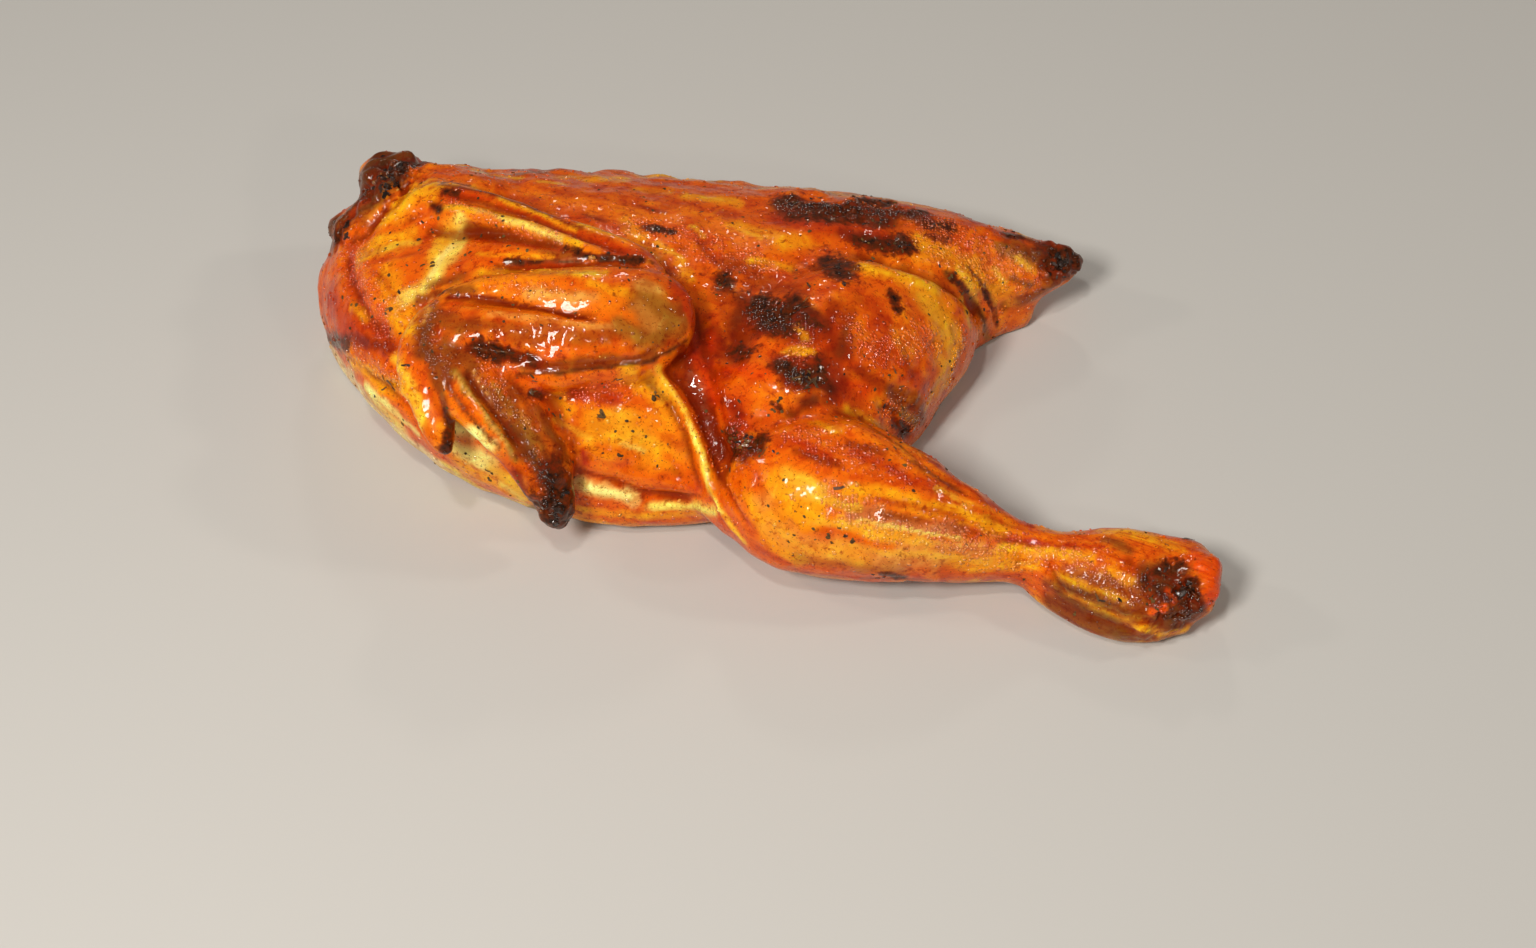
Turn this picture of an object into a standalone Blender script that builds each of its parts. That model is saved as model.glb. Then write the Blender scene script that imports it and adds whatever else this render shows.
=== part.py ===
"""Grilled half chicken: one bird split along keel and backbone, lying skin side up on its cut side.

The frame: +X from the neck to the tail and the leg, +Y from the keel to the backbone, +Z up.
The origin is at the middle of the footprint. Sizes below are in millimetres.
"""
import math

import bmesh
import bpy
import numpy as np
from mathutils import Vector, noise

MM = 0.001

# How finely the muscles are fused, and how many triangles are left at the end.
BODY_VOXEL = 1.6
WING_VOXEL = 1.1
TRIANGLES = 11400
FLAT_BELOW = 0.3
RING_SIDES = 32

# The trunk lies along X: x, front edge y, back edge y, top z.
TRUNK = (
    (-117, 36, 46, 26),
    (-112, 25, 58, 34),
    (-105, 15, 68, 40),
    (-97, 5, 76, 43),
    (-80, -13, 81, 46),
    (-63, -26, 83.5, 47),
    (-45, -34, 83, 47),
    (-29, -36.5, 81.5, 46),
    (-10, -36, 78.5, 44),
    (8, -25, 75, 42),
    (28, -6, 71.5, 39),
    (45, 10, 66.5, 36),
    (58, 21, 61.5, 32),
    (70, 31, 55.5, 27),
    (80, 35, 50, 21),
)
TRUNK_MIDDLE = 9
TRUNK_UNDERSIDE = 15

# Limbs: x, y, z of the middle, half width, half height, lean towards the keel in degrees.
BREAST = (
    (-110, 34, 20, 10, 12, 20),
    (-96, 29, 22, 23, 22, 20),
    (-76, 17, 23, 32, 28, 20),
    (-56, 5, 22, 35, 30, 20),
    (-36, -2, 21, 34, 28, 20),
    (-18, -9, 18, 26, 22, 20),
    (-6, -14, 16, 12, 12, 20),
)
SHOULDER = (
    (-110, 44, 22, 8, 8, 0),
    (-102, 46, 24, 20, 18, 0),
    (-88, 46, 25, 27, 25, 0),
    (-72, 46, 25, 24, 24, 0),
    (-58, 46, 22, 12, 14, 0),
)
THIGH = (
    (61, 33, 12, 10, 10, 0),
    (52, 29, 14, 18.5, 18, 0),
    (37, 19, 15, 25, 26.5, 0),
    (23, 6, 16, 28.5, 29.5, 0),
    (12, -9, 17, 26, 28, 0),
    (4, -22, 18, 24, 24, 0),
    (0, -33, 18, 17, 18, 0),
)
DRUMSTICK = (
    (-4, -35, 20, 11, 11, 0),
    (3, -37.5, 20, 17.5, 18, 0),
    (12, -39.8, 20, 20.3, 20.5, 0),
    (24, -43, 19.8, 20.3, 20.5, 0),
    (38, -47.5, 18, 18, 18, 0),
    (50, -51, 15.5, 13.5, 14, 0),
    (61, -54, 12.5, 9.5, 10.5, 0),
    (70, -56, 11, 7.6, 8.6, 0),
    (79, -60, 10.5, 9.5, 9, 0),
    (89, -63, 11, 12.5, 11, 0),
    (99, -65.5, 10.5, 13.5, 10.5, 0),
    (107, -65.8, 10.5, 12, 10, 0),
    (113, -64.5, 11, 9, 8.5, 0),
    (116, -64, 11, 5, 5, 0),
    (117, -63.5, 11, 2, 2, 0),
)
SHANK_FLAP = (
    (70, -59, 6, 5, 5, 0),
    (78, -65, 4, 6, 4, 0),
    (86, -69.5, 3.5, 7, 4, 0),
    (95, -73.5, 4, 6.5, 5, 0),
    (104, -73.5, 5, 5, 5, 0),
    (109, -72, 6, 2, 2, 0),
)
FLANK = (
    (-24, 8, 26, 8, 10, 0),
    (-17, -2, 25, 12, 12, 0),
    (-10, -18, 22, 12, 11.5, 0),
    (-5, -33, 17, 11, 10.5, 0),
    (0, -44, 13, 8, 8, 0),
)
TAIL = (
    (58, 46, 14, 16, 14, 0),
    (70, 44, 15, 13, 12, 0),
    (80, 43, 15.5, 9.5, 9, 0),
    (88, 43, 16, 6, 6, 0),
    (94, 44, 17, 2.5, 3, 0),
)
NECK = (
    (-78, 69, 24, 12, 10, 0),
    (-88, 69, 29, 9.5, 8, 0),
    (-95, 69, 33, 8.5, 7.5, 0),
    (-101, 67, 35, 8, 7, 0),
    (-106, 65, 35, 5, 5, 0),
)
NECK_FLAP = (
    (-98, 62, 30, 8, 4, 0),
    (-107, 61, 28, 7, 3, 0),
    (-115, 58, 25, 4, 2.5, 0),
)
UPPER_WING = (
    (-90, 47, 42, 8, 7, 0),
    (-80, 42, 46, 9, 8, 0),
    (-62, 32, 49, 8, 7, 0),
    (-46, 22, 50, 8, 7, 0),
    (-32, 13, 49, 9, 8, 0),
    (-25, 6, 47, 9, 8, 0),
)
FOREARM = (
    (-15, 0, 46, 4, 4, 20),
    (-17.5, -1, 47, 11, 8, 20),
    (-27, -4, 48.5, 15.5, 9, 20),
    (-46, -7, 49.5, 17, 8.5, 19),
    (-64, -8, 48.5, 16.5, 8, 18),
    (-76, -11, 46.5, 15, 7.5, 18),
    (-84, -14, 43.5, 10, 6, 18),
    (-87, -15, 42, 3, 3, 18),
)
WEB = (
    (-77, 24, 45, 4, 3, 0),
    (-70, 23, 48, 9, 4.5, 0),
    (-58, 18, 50.5, 10, 4.5, 0),
    (-44, 13, 52, 9, 4.5, 0),
    (-32, 8, 51.5, 7, 4.5, 0),
    (-25, 5, 50, 5, 4, 0),
)
HAND = (
    (-71, -15, 47, 10, 5, 0),
    (-66, -22, 44.5, 12, 5.5, 0),
    (-59, -29, 38.5, 11, 5, 0),
    (-53, -35, 30, 8.5, 4.8, 0),
    (-50, -39, 22, 6.2, 4.5, 0),
    (-49, -41.5, 15.5, 4.2, 3.5, 0),
    (-49, -42, 13, 1.5, 1.5, 0),
)
THUMB = (
    (-81, -14, 45, 8, 6, 0),
    (-81.5, -18, 43.5, 7, 5.5, 0),
    (-80, -25, 40.5, 5.2, 4.5, 0),
    (-78, -30, 37, 4, 3.6, 0),
    (-76.5, -33.5, 34, 2.6, 2.4, 0),
    (-76, -35, 32.5, 1, 1, 0),
)


# Lines in the skin: height (minus for a groove), half width, then the points it runs through.
STROKES = (
    (-2.6, 2.6, (-85, 42, 51), (-69, 36.5, 55), (-55, 28, 56), (-40, 19, 56.5), (-25, 12, 55.5)),
    (1.4, 3.2, (-82, 37, 52), (-64, 29, 55), (-47, 20, 56.5), (-31, 12, 56.5)),
    (-1.8, 2.6, (-76, 30, 51), (-60, 23, 54), (-44, 15, 56)),
    (-2.0, 1.9, (-67, 14.5, 53), (-54, 11.5, 55), (-43, 10, 56.5), (-30, 9.5, 56.5), (-22, 6, 55)),
    (1.3, 3.4, (-72, 3, 55), (-52, 1, 58), (-34, -1, 57)),
    (-2.2, 2.3, (-80, -5.5, 54), (-71, -2, 56.5), (-61, -4, 58), (-50, -8, 58), (-34, -11, 56)),
    (1.2, 3.0, (-72, -8, 56), (-52, -13, 57), (-32, -14, 54)),
    (-1.8, 2.0, (-75, -15, 52), (-64, -17.5, 53), (-55, -18, 52)),
    (1.8, 1.7, (-73, -23.5, 50), (-66, -32, 45), (-58.5, -39, 36.5)),
    (-1.8, 1.7, (-69.5, -24, 50), (-63, -32, 44.5), (-56, -38, 36)),
    (2.6, 1.9, (-24, -16, 44), (-16, -24, 35), (-12, -32, 27), (-9, -40, 20), (-4, -48, 15)),
    (-3.0, 2.4, (-20, -10, 45), (-11, -22, 36), (-7, -33, 29), (-3, -42, 24), (1, -50, 20)),
    (-1.6, 2.0, (-46, -36, 25), (-36, -35, 20), (-27, -36, 16), (-12, -36, 13.5)),
    (1.0, 2.4, (-46, -35, 30), (-36, -34, 25), (-27, -35, 21), (-12, -35, 18)),
    (-1.8, 2.4, (-112, 27, 10), (-99, 0, 27), (-91, -9, 30), (-83, -20, 32), (-78, -30, 32)),
    (-4.0, 3.6, (26, 30, 41), (41, 25, 40), (53, 24, 35), (62, 23, 26), (68, 28, 10)),
    (1.4, 3.4, (27, 19, 43), (41, 16, 42), (54, 17, 34)),
    (-1.6, 2.4, (62, 38, 28), (68, 34, 20), (72, 32, 8)),
    (-2.0, 2.6, (32, -24, 36), (45, -36, 30), (57, -45, 23)),
    (1.2, 3.0, (22, -34, 40), (42, -46, 33), (60, -52, 21)),
    (-1.3, 2.2, (31, -57, 34), (51, -58.5, 27), (71, -59, 18)),
    (-1.6, 2.2, (-108, 39, 38), (-103, 20, 41), (-97, 7, 40), (-88, -10, 44)),
    (1.2, 3.0, (-103, 34, 42), (-97, 14, 45), (-89, 0, 46)),
    (-3.0, 3.0, (-84, 58, 48), (-93, 47, 48), (-102, 40, 42), (-110, 46, 30)),
    (1.6, 3.4, (-98, 80, 34), (-60, 80, 46), (-20, 76, 45), (20, 70, 41), (55, 60, 33)),
    (-1.4, 3.0, (-80, 72, 47), (-50, 74, 49), (-10, 69, 46), (24, 63, 41)),
    (-1.5, 3.5, (-16, 14, 47), (-12, 0, 43), (-8, -12, 40)),
)

# Pin-feather bumps in a row along the forearm: height, radius, spacing, start, end.
FOLLICLES = (1.1, 2.0, 7.5, (-72, -13, 55), (-27, -16, 52))

# Burnt and blistered places: x, y, z, radius, height of the crags.
CRAGS = (
    (-96, 66, 42, 17, 3.4), (-110, 58, 30, 10, 1.8), (9, 0, 45, 15, 1.5), (15, -20, 42, 16, 1.5),
    (-1, -34, 35, 12, 1.5), (40, 33, 37, 9, 1.5), (35, 50, 36, 12, 1.5), (18, 52, 37, 12, 1.5),
    (-11, 34, 44, 9, 1.2), (54, 37, 33, 10, 1.4), (88, 41, 20, 12, 1.8), (70, 42, 28, 14, 1.3),
    (24, 15, 45, 8, 1.5), (108, -73, 16, 14, 1.8), (96, -76, 8, 12, 1.6), (-51, -43, 24, 12, 1.4),
    (50, 0, 24, 18, 1.2), (-60, 62, 49, 20, 1.0), (-112, 40, 24, 14, 1.0),
)

# Unevenness all over the skin: height and size of the ripples.
RIPPLES = ((0.9, 13), (0.45, 5.5))

# The cut side sags a little at the chest and at the hip: middle x and y, half length, half width, depth.
HOLLOWS = ((-56, 22, 46, 44, 3.0), (36, 42, 24, 17, 2.4))

SKIN_COLOUR = (0.62, 0.2, 0.03, 1)
SKIN_ROUGHNESS = 0.35


def smooth_path(stations, steps):
    """Rows between the stations on a Catmull-Rom curve, steps to a stretch."""
    rows = np.array(stations, float)
    ends = np.vstack([2 * rows[0] - rows[1], rows, 2 * rows[-1] - rows[-2]])
    found = []
    for i in range(len(rows) - 1):
        a, b, c, d = ends[i : i + 4]
        for t in np.linspace(0, 1, steps, endpoint=False):
            found.append(
                0.5 * (2 * b + (c - a) * t + (2 * a - 5 * b + 4 * c - d) * t**2
                       + (3 * b - a - 3 * c + d) * t**3)
            )
    found.append(rows[-1])
    return np.array(found)


def skin_rings(name, rings):
    """A closed mesh through rings of points, with a point at each end."""
    bm = bmesh.new()
    loops = [[bm.verts.new(Vector(p) * MM) for p in ring] for ring in rings]
    for low, high in zip(loops, loops[1:]):
        for i in range(len(low)):
            j = (i + 1) % len(low)
            bm.faces.new((low[i], low[j], high[j], high[i]))
    for loop in (loops[0], loops[-1]):
        tip = bm.verts.new(sum((v.co for v in loop), Vector()) / len(loop))
        for i in range(len(loop)):
            bm.faces.new((loop[i], loop[(i + 1) % len(loop)], tip))
    bmesh.ops.recalc_face_normals(bm, faces=bm.faces)
    mesh = bpy.data.meshes.new(name)
    bm.to_mesh(mesh)
    bm.free()
    body = bpy.data.objects.new(name, mesh)
    bpy.context.scene.collection.objects.link(body)
    return body


def trunk_body():
    """The trunk: upright rings, nearly flat on the cut side."""
    rings = []
    for x, front, back, top in smooth_path(TRUNK, 4):
        middle, half = (front + back) / 2, (back - front) / 2
        rings.append([])
        for k in range(RING_SIDES * 2):
            a = 2 * math.pi * k / (RING_SIDES * 2)
            c, s = math.cos(a), math.sin(a)
            square, reach = (0.9, top - TRUNK_MIDDLE) if s > 0 else (0.5, TRUNK_UNDERSIDE)
            y = middle + half * math.copysign(abs(c) ** square, c)
            z = TRUNK_MIDDLE + reach * math.copysign(abs(s) ** 0.9, s)
            rings[-1].append((x, y, z))
    return skin_rings("trunk", rings)


def limb_body(name, stations):
    """A muscle or a bone with its skin: oval rings square to a curved line."""
    rows = smooth_path(stations, 4)
    rings = []
    for i, row in enumerate(rows):
        ahead, behind = rows[min(i + 1, len(rows) - 1)], rows[max(i - 1, 0)]
        along = Vector(ahead[:3] - behind[:3]).normalized()
        side = Vector((0, 0, 1)).cross(along).normalized()
        up = along.cross(side)
        if side.y < 0:
            side = -side
        lean = math.radians(row[5])
        wide = side * math.cos(lean) + up * math.sin(lean)
        high = up * math.cos(lean) - side * math.sin(lean)
        middle = Vector(row[:3])
        rings.append([])
        for k in range(RING_SIDES):
            a = 2 * math.pi * k / RING_SIDES
            rings[-1].append(middle + wide * row[3] * math.cos(a) + high * row[4] * math.sin(a))
    return skin_rings(name, rings)


def apply_modifiers(body):
    """The object's mesh as its modifiers leave it, with the modifiers gone."""
    graph = bpy.context.evaluated_depsgraph_get()
    mesh = bpy.data.meshes.new_from_object(body.evaluated_get(graph))
    old = body.data
    body.modifiers.clear()
    body.data = mesh
    bpy.data.meshes.remove(old)


def joined(name, bodies):
    """One object that holds the meshes of several, which are then removed."""
    bm = bmesh.new()
    for body in bodies:
        bm.from_mesh(body.data)
        bpy.data.objects.remove(body)
    mesh = bpy.data.meshes.new(name)
    bm.to_mesh(mesh)
    bm.free()
    whole = bpy.data.objects.new(name, mesh)
    bpy.context.scene.collection.objects.link(whole)
    return whole


def fuse(name, bodies, voxel, rounds):
    """Grows overlapping bodies together into one skin and softens it."""
    whole = joined(name, bodies)
    remesh = whole.modifiers.new("fuse", "REMESH")
    remesh.mode = "VOXEL"
    remesh.voxel_size = voxel * MM
    soften = whole.modifiers.new("soften", "SMOOTH")
    soften.factor = 0.5
    soften.iterations = rounds
    bpy.context.view_layer.update()
    apply_modifiers(whole)
    return whole


def cut_flat(body, height):
    """Cuts off what lies below this height and closes the cut with one flat face."""
    bm = bmesh.new()
    bm.from_mesh(body.data)
    plane = bmesh.ops.bisect_plane(
        bm, geom=bm.verts[:] + bm.edges[:] + bm.faces[:], dist=1e-7,
        plane_co=(0, 0, height * MM), plane_no=(0, 0, 1), clear_inner=True,
    )
    rim = [e for e in plane["geom_cut"] if isinstance(e, bmesh.types.BMEdge)]
    bmesh.ops.triangle_fill(bm, edges=rim, use_beauty=True, normal=(0, 0, -1))
    bmesh.ops.recalc_face_normals(bm, faces=bm.faces)
    bm.to_mesh(body.data)
    bm.free()


def points_of(body):
    """The vertices as an array of millimetres, and their normals."""
    count = len(body.data.vertices)
    points, normals = np.empty(count * 3), np.empty(count * 3)
    body.data.vertices.foreach_get("co", points)
    body.data.vertex_normals.foreach_get("vector", normals)
    return points.reshape(-1, 3) / MM, normals.reshape(-1, 3)


def move_points(body, points):
    body.data.vertices.foreach_set("co", (points * MM).ravel())
    body.data.update()


def nearest_on_line(points, line):
    """Distance of each point to a line through several points, and how far along it lies, 0 to 1."""
    line = np.array(line, float)
    lengths = np.linalg.norm(np.diff(line, axis=0), axis=1)
    best = np.full(len(points), 1e9)
    place = np.zeros(len(points))
    passed = 0.0
    for a, b, length in zip(line, line[1:], lengths):
        t = np.clip((points - a) @ (b - a) / length**2, 0, 1)
        away = np.linalg.norm(points - (a + t[:, None] * (b - a)), axis=1)
        closer = away < best
        best[closer] = away[closer]
        place[closer] = (passed + t * length)[closer] / lengths.sum()
        passed += length
    return best, place


def smooth_step(low, high, values):
    t = np.clip((values - low) / (high - low), 0, 1)
    return t * t * (3 - 2 * t)


def stroke_relief(points):
    """Grooves and ridges, each fading out at both ends."""
    rise = np.zeros(len(points))
    for height, width, *line in STROKES:
        away, place = nearest_on_line(points, line)
        fade = smooth_step(0, 0.16, place) * smooth_step(0, 0.16, 1 - place)
        rise += height * fade * np.exp(-((away / width) ** 2))
    return rise


def follicle_relief(points):
    height, radius, spacing, start, end = FOLLICLES
    start, end = np.array(start), np.array(end)
    rise = np.zeros(len(points))
    for t in np.arange(0, 1.001, spacing / np.linalg.norm(end - start)):
        away = np.linalg.norm(points - (start + t * (end - start)), axis=1)
        rise += height * np.exp(-((away / radius) ** 2))
    return rise


def ripple(points, size, seed):
    """Smooth noise from -1 to 1 with bumps of this size."""
    shift = Vector((seed * 7.3, seed * 3.1, seed * 5.7))
    return np.array([noise.noise(Vector(p) / size + shift) for p in points])


def crag_relief(points):
    rise = np.zeros(len(points))
    rough = np.abs(ripple(points, 7, 3)) + 0.6 * ripple(points, 3.4, 4)
    for x, y, z, radius, height in CRAGS:
        away = np.linalg.norm(points - (x, y, z), axis=1)
        rise += height * rough * (1 - smooth_step(0.35 * radius, radius, away))
    return rise


def rough_up(body):
    """Puts the folds, grooves, blisters and ripples into the skin, and leaves the cut side alone."""
    points, normals = points_of(body)
    rise = stroke_relief(points) + follicle_relief(points) + crag_relief(points)
    for number, (height, size) in enumerate(RIPPLES):
        rise += height * ripple(points, size, number)
    rise *= smooth_step(0, 4, points[:, 2])
    moved = points + normals * rise[:, None]
    moved[:, 2] = np.maximum(moved[:, 2], 0)
    move_points(body, moved)


def hollow_out(body):
    """Sinks shallow uneven hollows into the flat cut side."""
    points, _ = points_of(body)
    under = points[:, 2] < 0.5
    points[under, 2] = 0
    uneven = 1 + 0.4 * ripple(points[under], 12, 6)
    for x, y, half_length, half_width, depth in HOLLOWS:
        out = np.hypot((points[under, 0] - x) / half_length, (points[under, 1] - y) / half_width)
        points[under, 2] += depth * uneven * (1 - smooth_step(0.45, 1, out))
    move_points(body, points)


def thin_out(body, triangles):
    """Fewer triangles, most of them where the form bends."""
    body.data.calc_loop_triangles()
    fewer = body.modifiers.new("fewer", "DECIMATE")
    fewer.ratio = triangles / len(body.data.loop_triangles)
    fewer.use_collapse_triangulate = True
    bpy.context.view_layer.update()
    apply_modifiers(body)
    points, _ = points_of(body)
    points[points[:, 2] < FLAT_BELOW, 2] = 0
    move_points(body, points)


def centre(body):
    """Puts the middle of the footprint at the origin."""
    points, _ = points_of(body)
    points[:, :2] -= (points[:, :2].min(axis=0) + points[:, :2].max(axis=0)) / 2
    move_points(body, points)


def skin_material():
    material = bpy.data.materials.new("grilled_skin")
    material.use_nodes = True
    shader = material.node_tree.nodes["Principled BSDF"]
    shader.inputs["Base Color"].default_value = SKIN_COLOUR
    shader.inputs["Roughness"].default_value = SKIN_ROUGHNESS
    shader.inputs["Metallic"].default_value = 0
    return material


def build():
    for old in list(bpy.data.objects):
        bpy.data.objects.remove(old)
    trunk = trunk_body()
    masses = [
        limb_body(name, rows)
        for name, rows in (
            ("breast", BREAST), ("shoulder", SHOULDER), ("thigh", THIGH),
            ("drumstick", DRUMSTICK), ("shank_flap", SHANK_FLAP), ("flank", FLANK),
            ("tail", TAIL), ("neck", NECK), ("neck_flap", NECK_FLAP),
        )
    ]
    body = fuse("body", [trunk, *masses], BODY_VOXEL, 14)
    cut_flat(body, 0)
    wing = [
        limb_body(name, rows)
        for name, rows in (
            ("upper_wing", UPPER_WING), ("forearm", FOREARM), ("web", WEB),
            ("hand", HAND), ("thumb", THUMB),
        )
    ]
    bird = fuse("half_chicken", [body, *wing], WING_VOXEL, 4)
    hollow_out(bird)
    rough_up(bird)
    thin_out(bird, TRIANGLES)
    centre(bird)
    bird.data.materials.append(skin_material())


build()
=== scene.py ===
# %% [markdown]
# # A grilled half chicken
#
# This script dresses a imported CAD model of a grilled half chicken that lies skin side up.
# The CAD gives the true form and size: breast, folded wing, thigh, drumstick and tail in one solid.
# Here the skin gets its folds, blisters, colours, glaze and the herbs and garlic that stick to it.
# Everything is in metres, +X runs from the neck to the tail, +Y from keel to backbone, and +Z is up.

import math

import bpy
import numpy as np
from mathutils import Matrix, Vector, noise
from mathutils.bvhtree import BVHTree


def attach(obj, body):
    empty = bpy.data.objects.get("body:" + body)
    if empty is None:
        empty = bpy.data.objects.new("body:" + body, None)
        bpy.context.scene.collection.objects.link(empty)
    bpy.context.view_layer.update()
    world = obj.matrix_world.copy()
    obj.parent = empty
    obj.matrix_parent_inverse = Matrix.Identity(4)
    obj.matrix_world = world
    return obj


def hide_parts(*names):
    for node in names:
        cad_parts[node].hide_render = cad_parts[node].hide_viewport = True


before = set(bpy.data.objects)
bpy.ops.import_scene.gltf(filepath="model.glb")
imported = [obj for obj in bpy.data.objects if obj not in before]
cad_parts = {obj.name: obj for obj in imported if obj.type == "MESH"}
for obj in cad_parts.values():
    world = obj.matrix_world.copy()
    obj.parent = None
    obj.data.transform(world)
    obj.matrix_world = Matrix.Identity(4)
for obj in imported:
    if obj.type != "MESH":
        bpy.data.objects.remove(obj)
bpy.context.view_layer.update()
MM = 0.001

# %% [markdown]
# ## The camera
#
# The photo looks down on the bird at 48 degrees from the keel side, and is rolled by two degrees.
# A 60 mm lens at 0.66 m was worked out from the perspective of the photo and from its scale.
# Setting the matrix from a tilt and a roll keeps those two numbers readable.
# The tone curve is the plain Standard one, because a filmic curve would grey the glaze.

# %% Camera
PHOTO_WIDTH, PHOTO_HEIGHT = 1536, 948
CAMERA_PLACE = Vector((0.004525, -0.473388, 0.508479))
CAMERA_DOWN = 48.1
CAMERA_ROLL = -2.22
LENS = 60
SENSOR = 36

camera_data = bpy.data.cameras.new("photo_camera")
camera_data.lens = LENS
camera_data.sensor_width = SENSOR
camera = bpy.data.objects.new("photo_camera", camera_data)
bpy.context.scene.collection.objects.link(camera)
tilt = Matrix.Rotation(math.radians(90 - CAMERA_DOWN), 4, "X")
roll = Matrix.Rotation(math.radians(CAMERA_ROLL), 4, "Z")
camera.matrix_world = Matrix.Translation(CAMERA_PLACE) @ tilt @ roll
bpy.context.scene.camera = camera
bpy.context.scene.view_settings.view_transform = "Standard"
PIXELS_PER_UNIT = LENS / SENSOR * PHOTO_WIDTH
print("camera at", [round(v, 3) for v in camera.matrix_world.translation])

# %% [markdown]
# ## The skin
#
# A roasted skin is one closed surface that is smooth in some places and blistered in others.
# It could be sculpted by hand, but a script can't hold a brush, so the CAD form is copied,
# its loose triangles are merged, and a voxel remesh spreads even, small faces over it.
# A short smoothing takes the facets away and leaves the form.

# %% Helpers for selecting and modifiers


def select_only(piece):
    """Makes this the one selected and active object."""
    bpy.ops.object.select_all(action="DESELECT")
    piece.select_set(True)
    bpy.context.view_layer.objects.active = piece


def apply_modifier(piece, kind, **settings):
    """Adds a modifier with these settings and applies it."""
    select_only(piece)
    modifier = piece.modifiers.new(kind.lower(), kind)
    for name, value in settings.items():
        setattr(modifier, name, value)
    bpy.ops.object.modifier_apply(modifier=modifier.name)


# %% Copy the CAD form and remesh it
SKIN_FACE = 0.95 * MM

cad_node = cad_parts["half_chicken"]
skin = cad_node.copy()
skin.data = cad_node.data.copy()
skin.name = "grilled_skin"
skin.parent = None
skin.matrix_world = Matrix.Identity(4)
bpy.context.scene.collection.objects.link(skin)
select_only(skin)
bpy.ops.object.mode_set(mode="EDIT")
bpy.ops.mesh.select_all(action="SELECT")
bpy.ops.mesh.remove_doubles(threshold=0.01 * MM)
bpy.ops.object.mode_set(mode="OBJECT")
apply_modifier(skin, "REMESH", mode="VOXEL", voxel_size=SKIN_FACE)
apply_modifier(skin, "SMOOTH", factor=0.5, iterations=10)
print("skin faces:", len(skin.data.polygons))

# %% [markdown]
# ## Working with all the points at once
#
# The next steps push the skin in and out along its normals, as a sculpting brush does.
# Doing that point by point in Python is slow, so the points are read into arrays first.
# Noise comes from Blender's own noise functions, which give the same value on every run.

# %% Helpers for points and noise
NOISE_STEP = (7.3, 3.1, 5.7)
SHORTEST = 1e-9


def read_points(piece):
    """The points and their normals as two arrays."""
    count = len(piece.data.vertices)
    points, normals = np.empty(count * 3), np.empty(count * 3)
    piece.data.vertices.foreach_get("co", points)
    piece.data.vertex_normals.foreach_get("vector", normals)
    return points.reshape(-1, 3), normals.reshape(-1, 3)


def push(piece, rise):
    """Moves each point along its normal by its own height."""
    points, normals = read_points(piece)
    piece.data.vertices.foreach_set("co", (points + normals * rise[:, None]).ravel())
    piece.data.update()


def ripple(points, size, seed):
    """Smooth noise from about -1 to 1, with bumps of this size."""
    shift = Vector([step * seed for step in NOISE_STEP])
    return np.array([noise.noise(Vector(p) / size + shift) for p in points])


def smooth_step(low, high, values):
    """0 below the low value, 1 above the high one, and a soft curve between them."""
    t = np.clip((values - low) / (high - low), 0, 1)
    return t * t * (3 - 2 * t)


def nearest_on_line(points, line):
    """Distance of each point to a line through several points, and how far along it lies, 0 to 1."""
    lengths = np.linalg.norm(np.diff(line, axis=0), axis=1)
    best = np.full(len(points), np.inf)
    place = np.zeros(len(points))
    passed = 0.0
    for a, b, length in zip(line, line[1:], lengths):
        t = np.clip((points - a) @ (b - a) / max(length, SHORTEST) ** 2, 0, 1)
        away = np.linalg.norm(points - (a + t[:, None] * (b - a)), axis=1)
        closer = away < best
        best[closer] = away[closer]
        place[closer] = (passed + t * length)[closer] / lengths.sum()
        passed += length
    return best, place


# %% [markdown]
# ## Placing things by what the photo shows
#
# A fold or a burnt spot is easiest to name by where it is seen in the picture.
# A ray from the camera through that pixel meets the skin at a real point in space,
# and the fold is then made round that point, so it is right from every other side too.

# %% A ray from a pixel to the skin
to_world = camera.matrix_world.to_3x3()
SEARCH_DEPTHS = np.linspace(0.5, 0.8, 61)


def surface_tree(piece):
    """A search tree that finds where a ray meets the piece."""
    return BVHTree.FromObject(piece, bpy.context.evaluated_depsgraph_get())


def at_pixel(tree, u, v):
    """The point of the surface that the photo shows at this pixel, or the nearest one if the ray misses."""
    ray = Vector((u - PHOTO_WIDTH / 2, PHOTO_HEIGHT / 2 - v, -PIXELS_PER_UNIT))
    ray = (to_world @ ray).normalized()
    place = tree.ray_cast(CAMERA_PLACE, ray)[0]
    if place is None:
        steps = [CAMERA_PLACE + ray * d for d in SEARCH_DEPTHS]
        place = min((tree.find_nearest(p) for p in steps), key=lambda found: found[3])[0]
    return np.array(place)


def pixel_size(place):
    """How many metres one pixel of the photo covers at this place."""
    return (Vector(place) - CAMERA_PLACE).length / PIXELS_PER_UNIT


def line_on_skin(tree, pixels, step=12):
    """The points of the surface under a line of pixels, close enough together to follow its curves."""
    line = []
    for (u0, v0), (u1, v1) in zip(pixels, pixels[1:]):
        count = max(1, round(math.hypot(u1 - u0, v1 - v0) / step))
        line += [at_pixel(tree, u0 + (u1 - u0) * k / count, v0 + (v1 - v0) * k / count) for k in range(count)]
    return np.array(line + [at_pixel(tree, *pixels[-1])])


# %% [markdown]
# ## Folds, tendons and edges
#
# Heat shrinks the skin, so it drapes in thin ridges and sharp grooves over wing, thigh and shank.
# Each line below is a height in millimetres (minus for a groove), a half width, and the pixels
# it runs through. The height fades at both ends, as a fold does.

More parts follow.
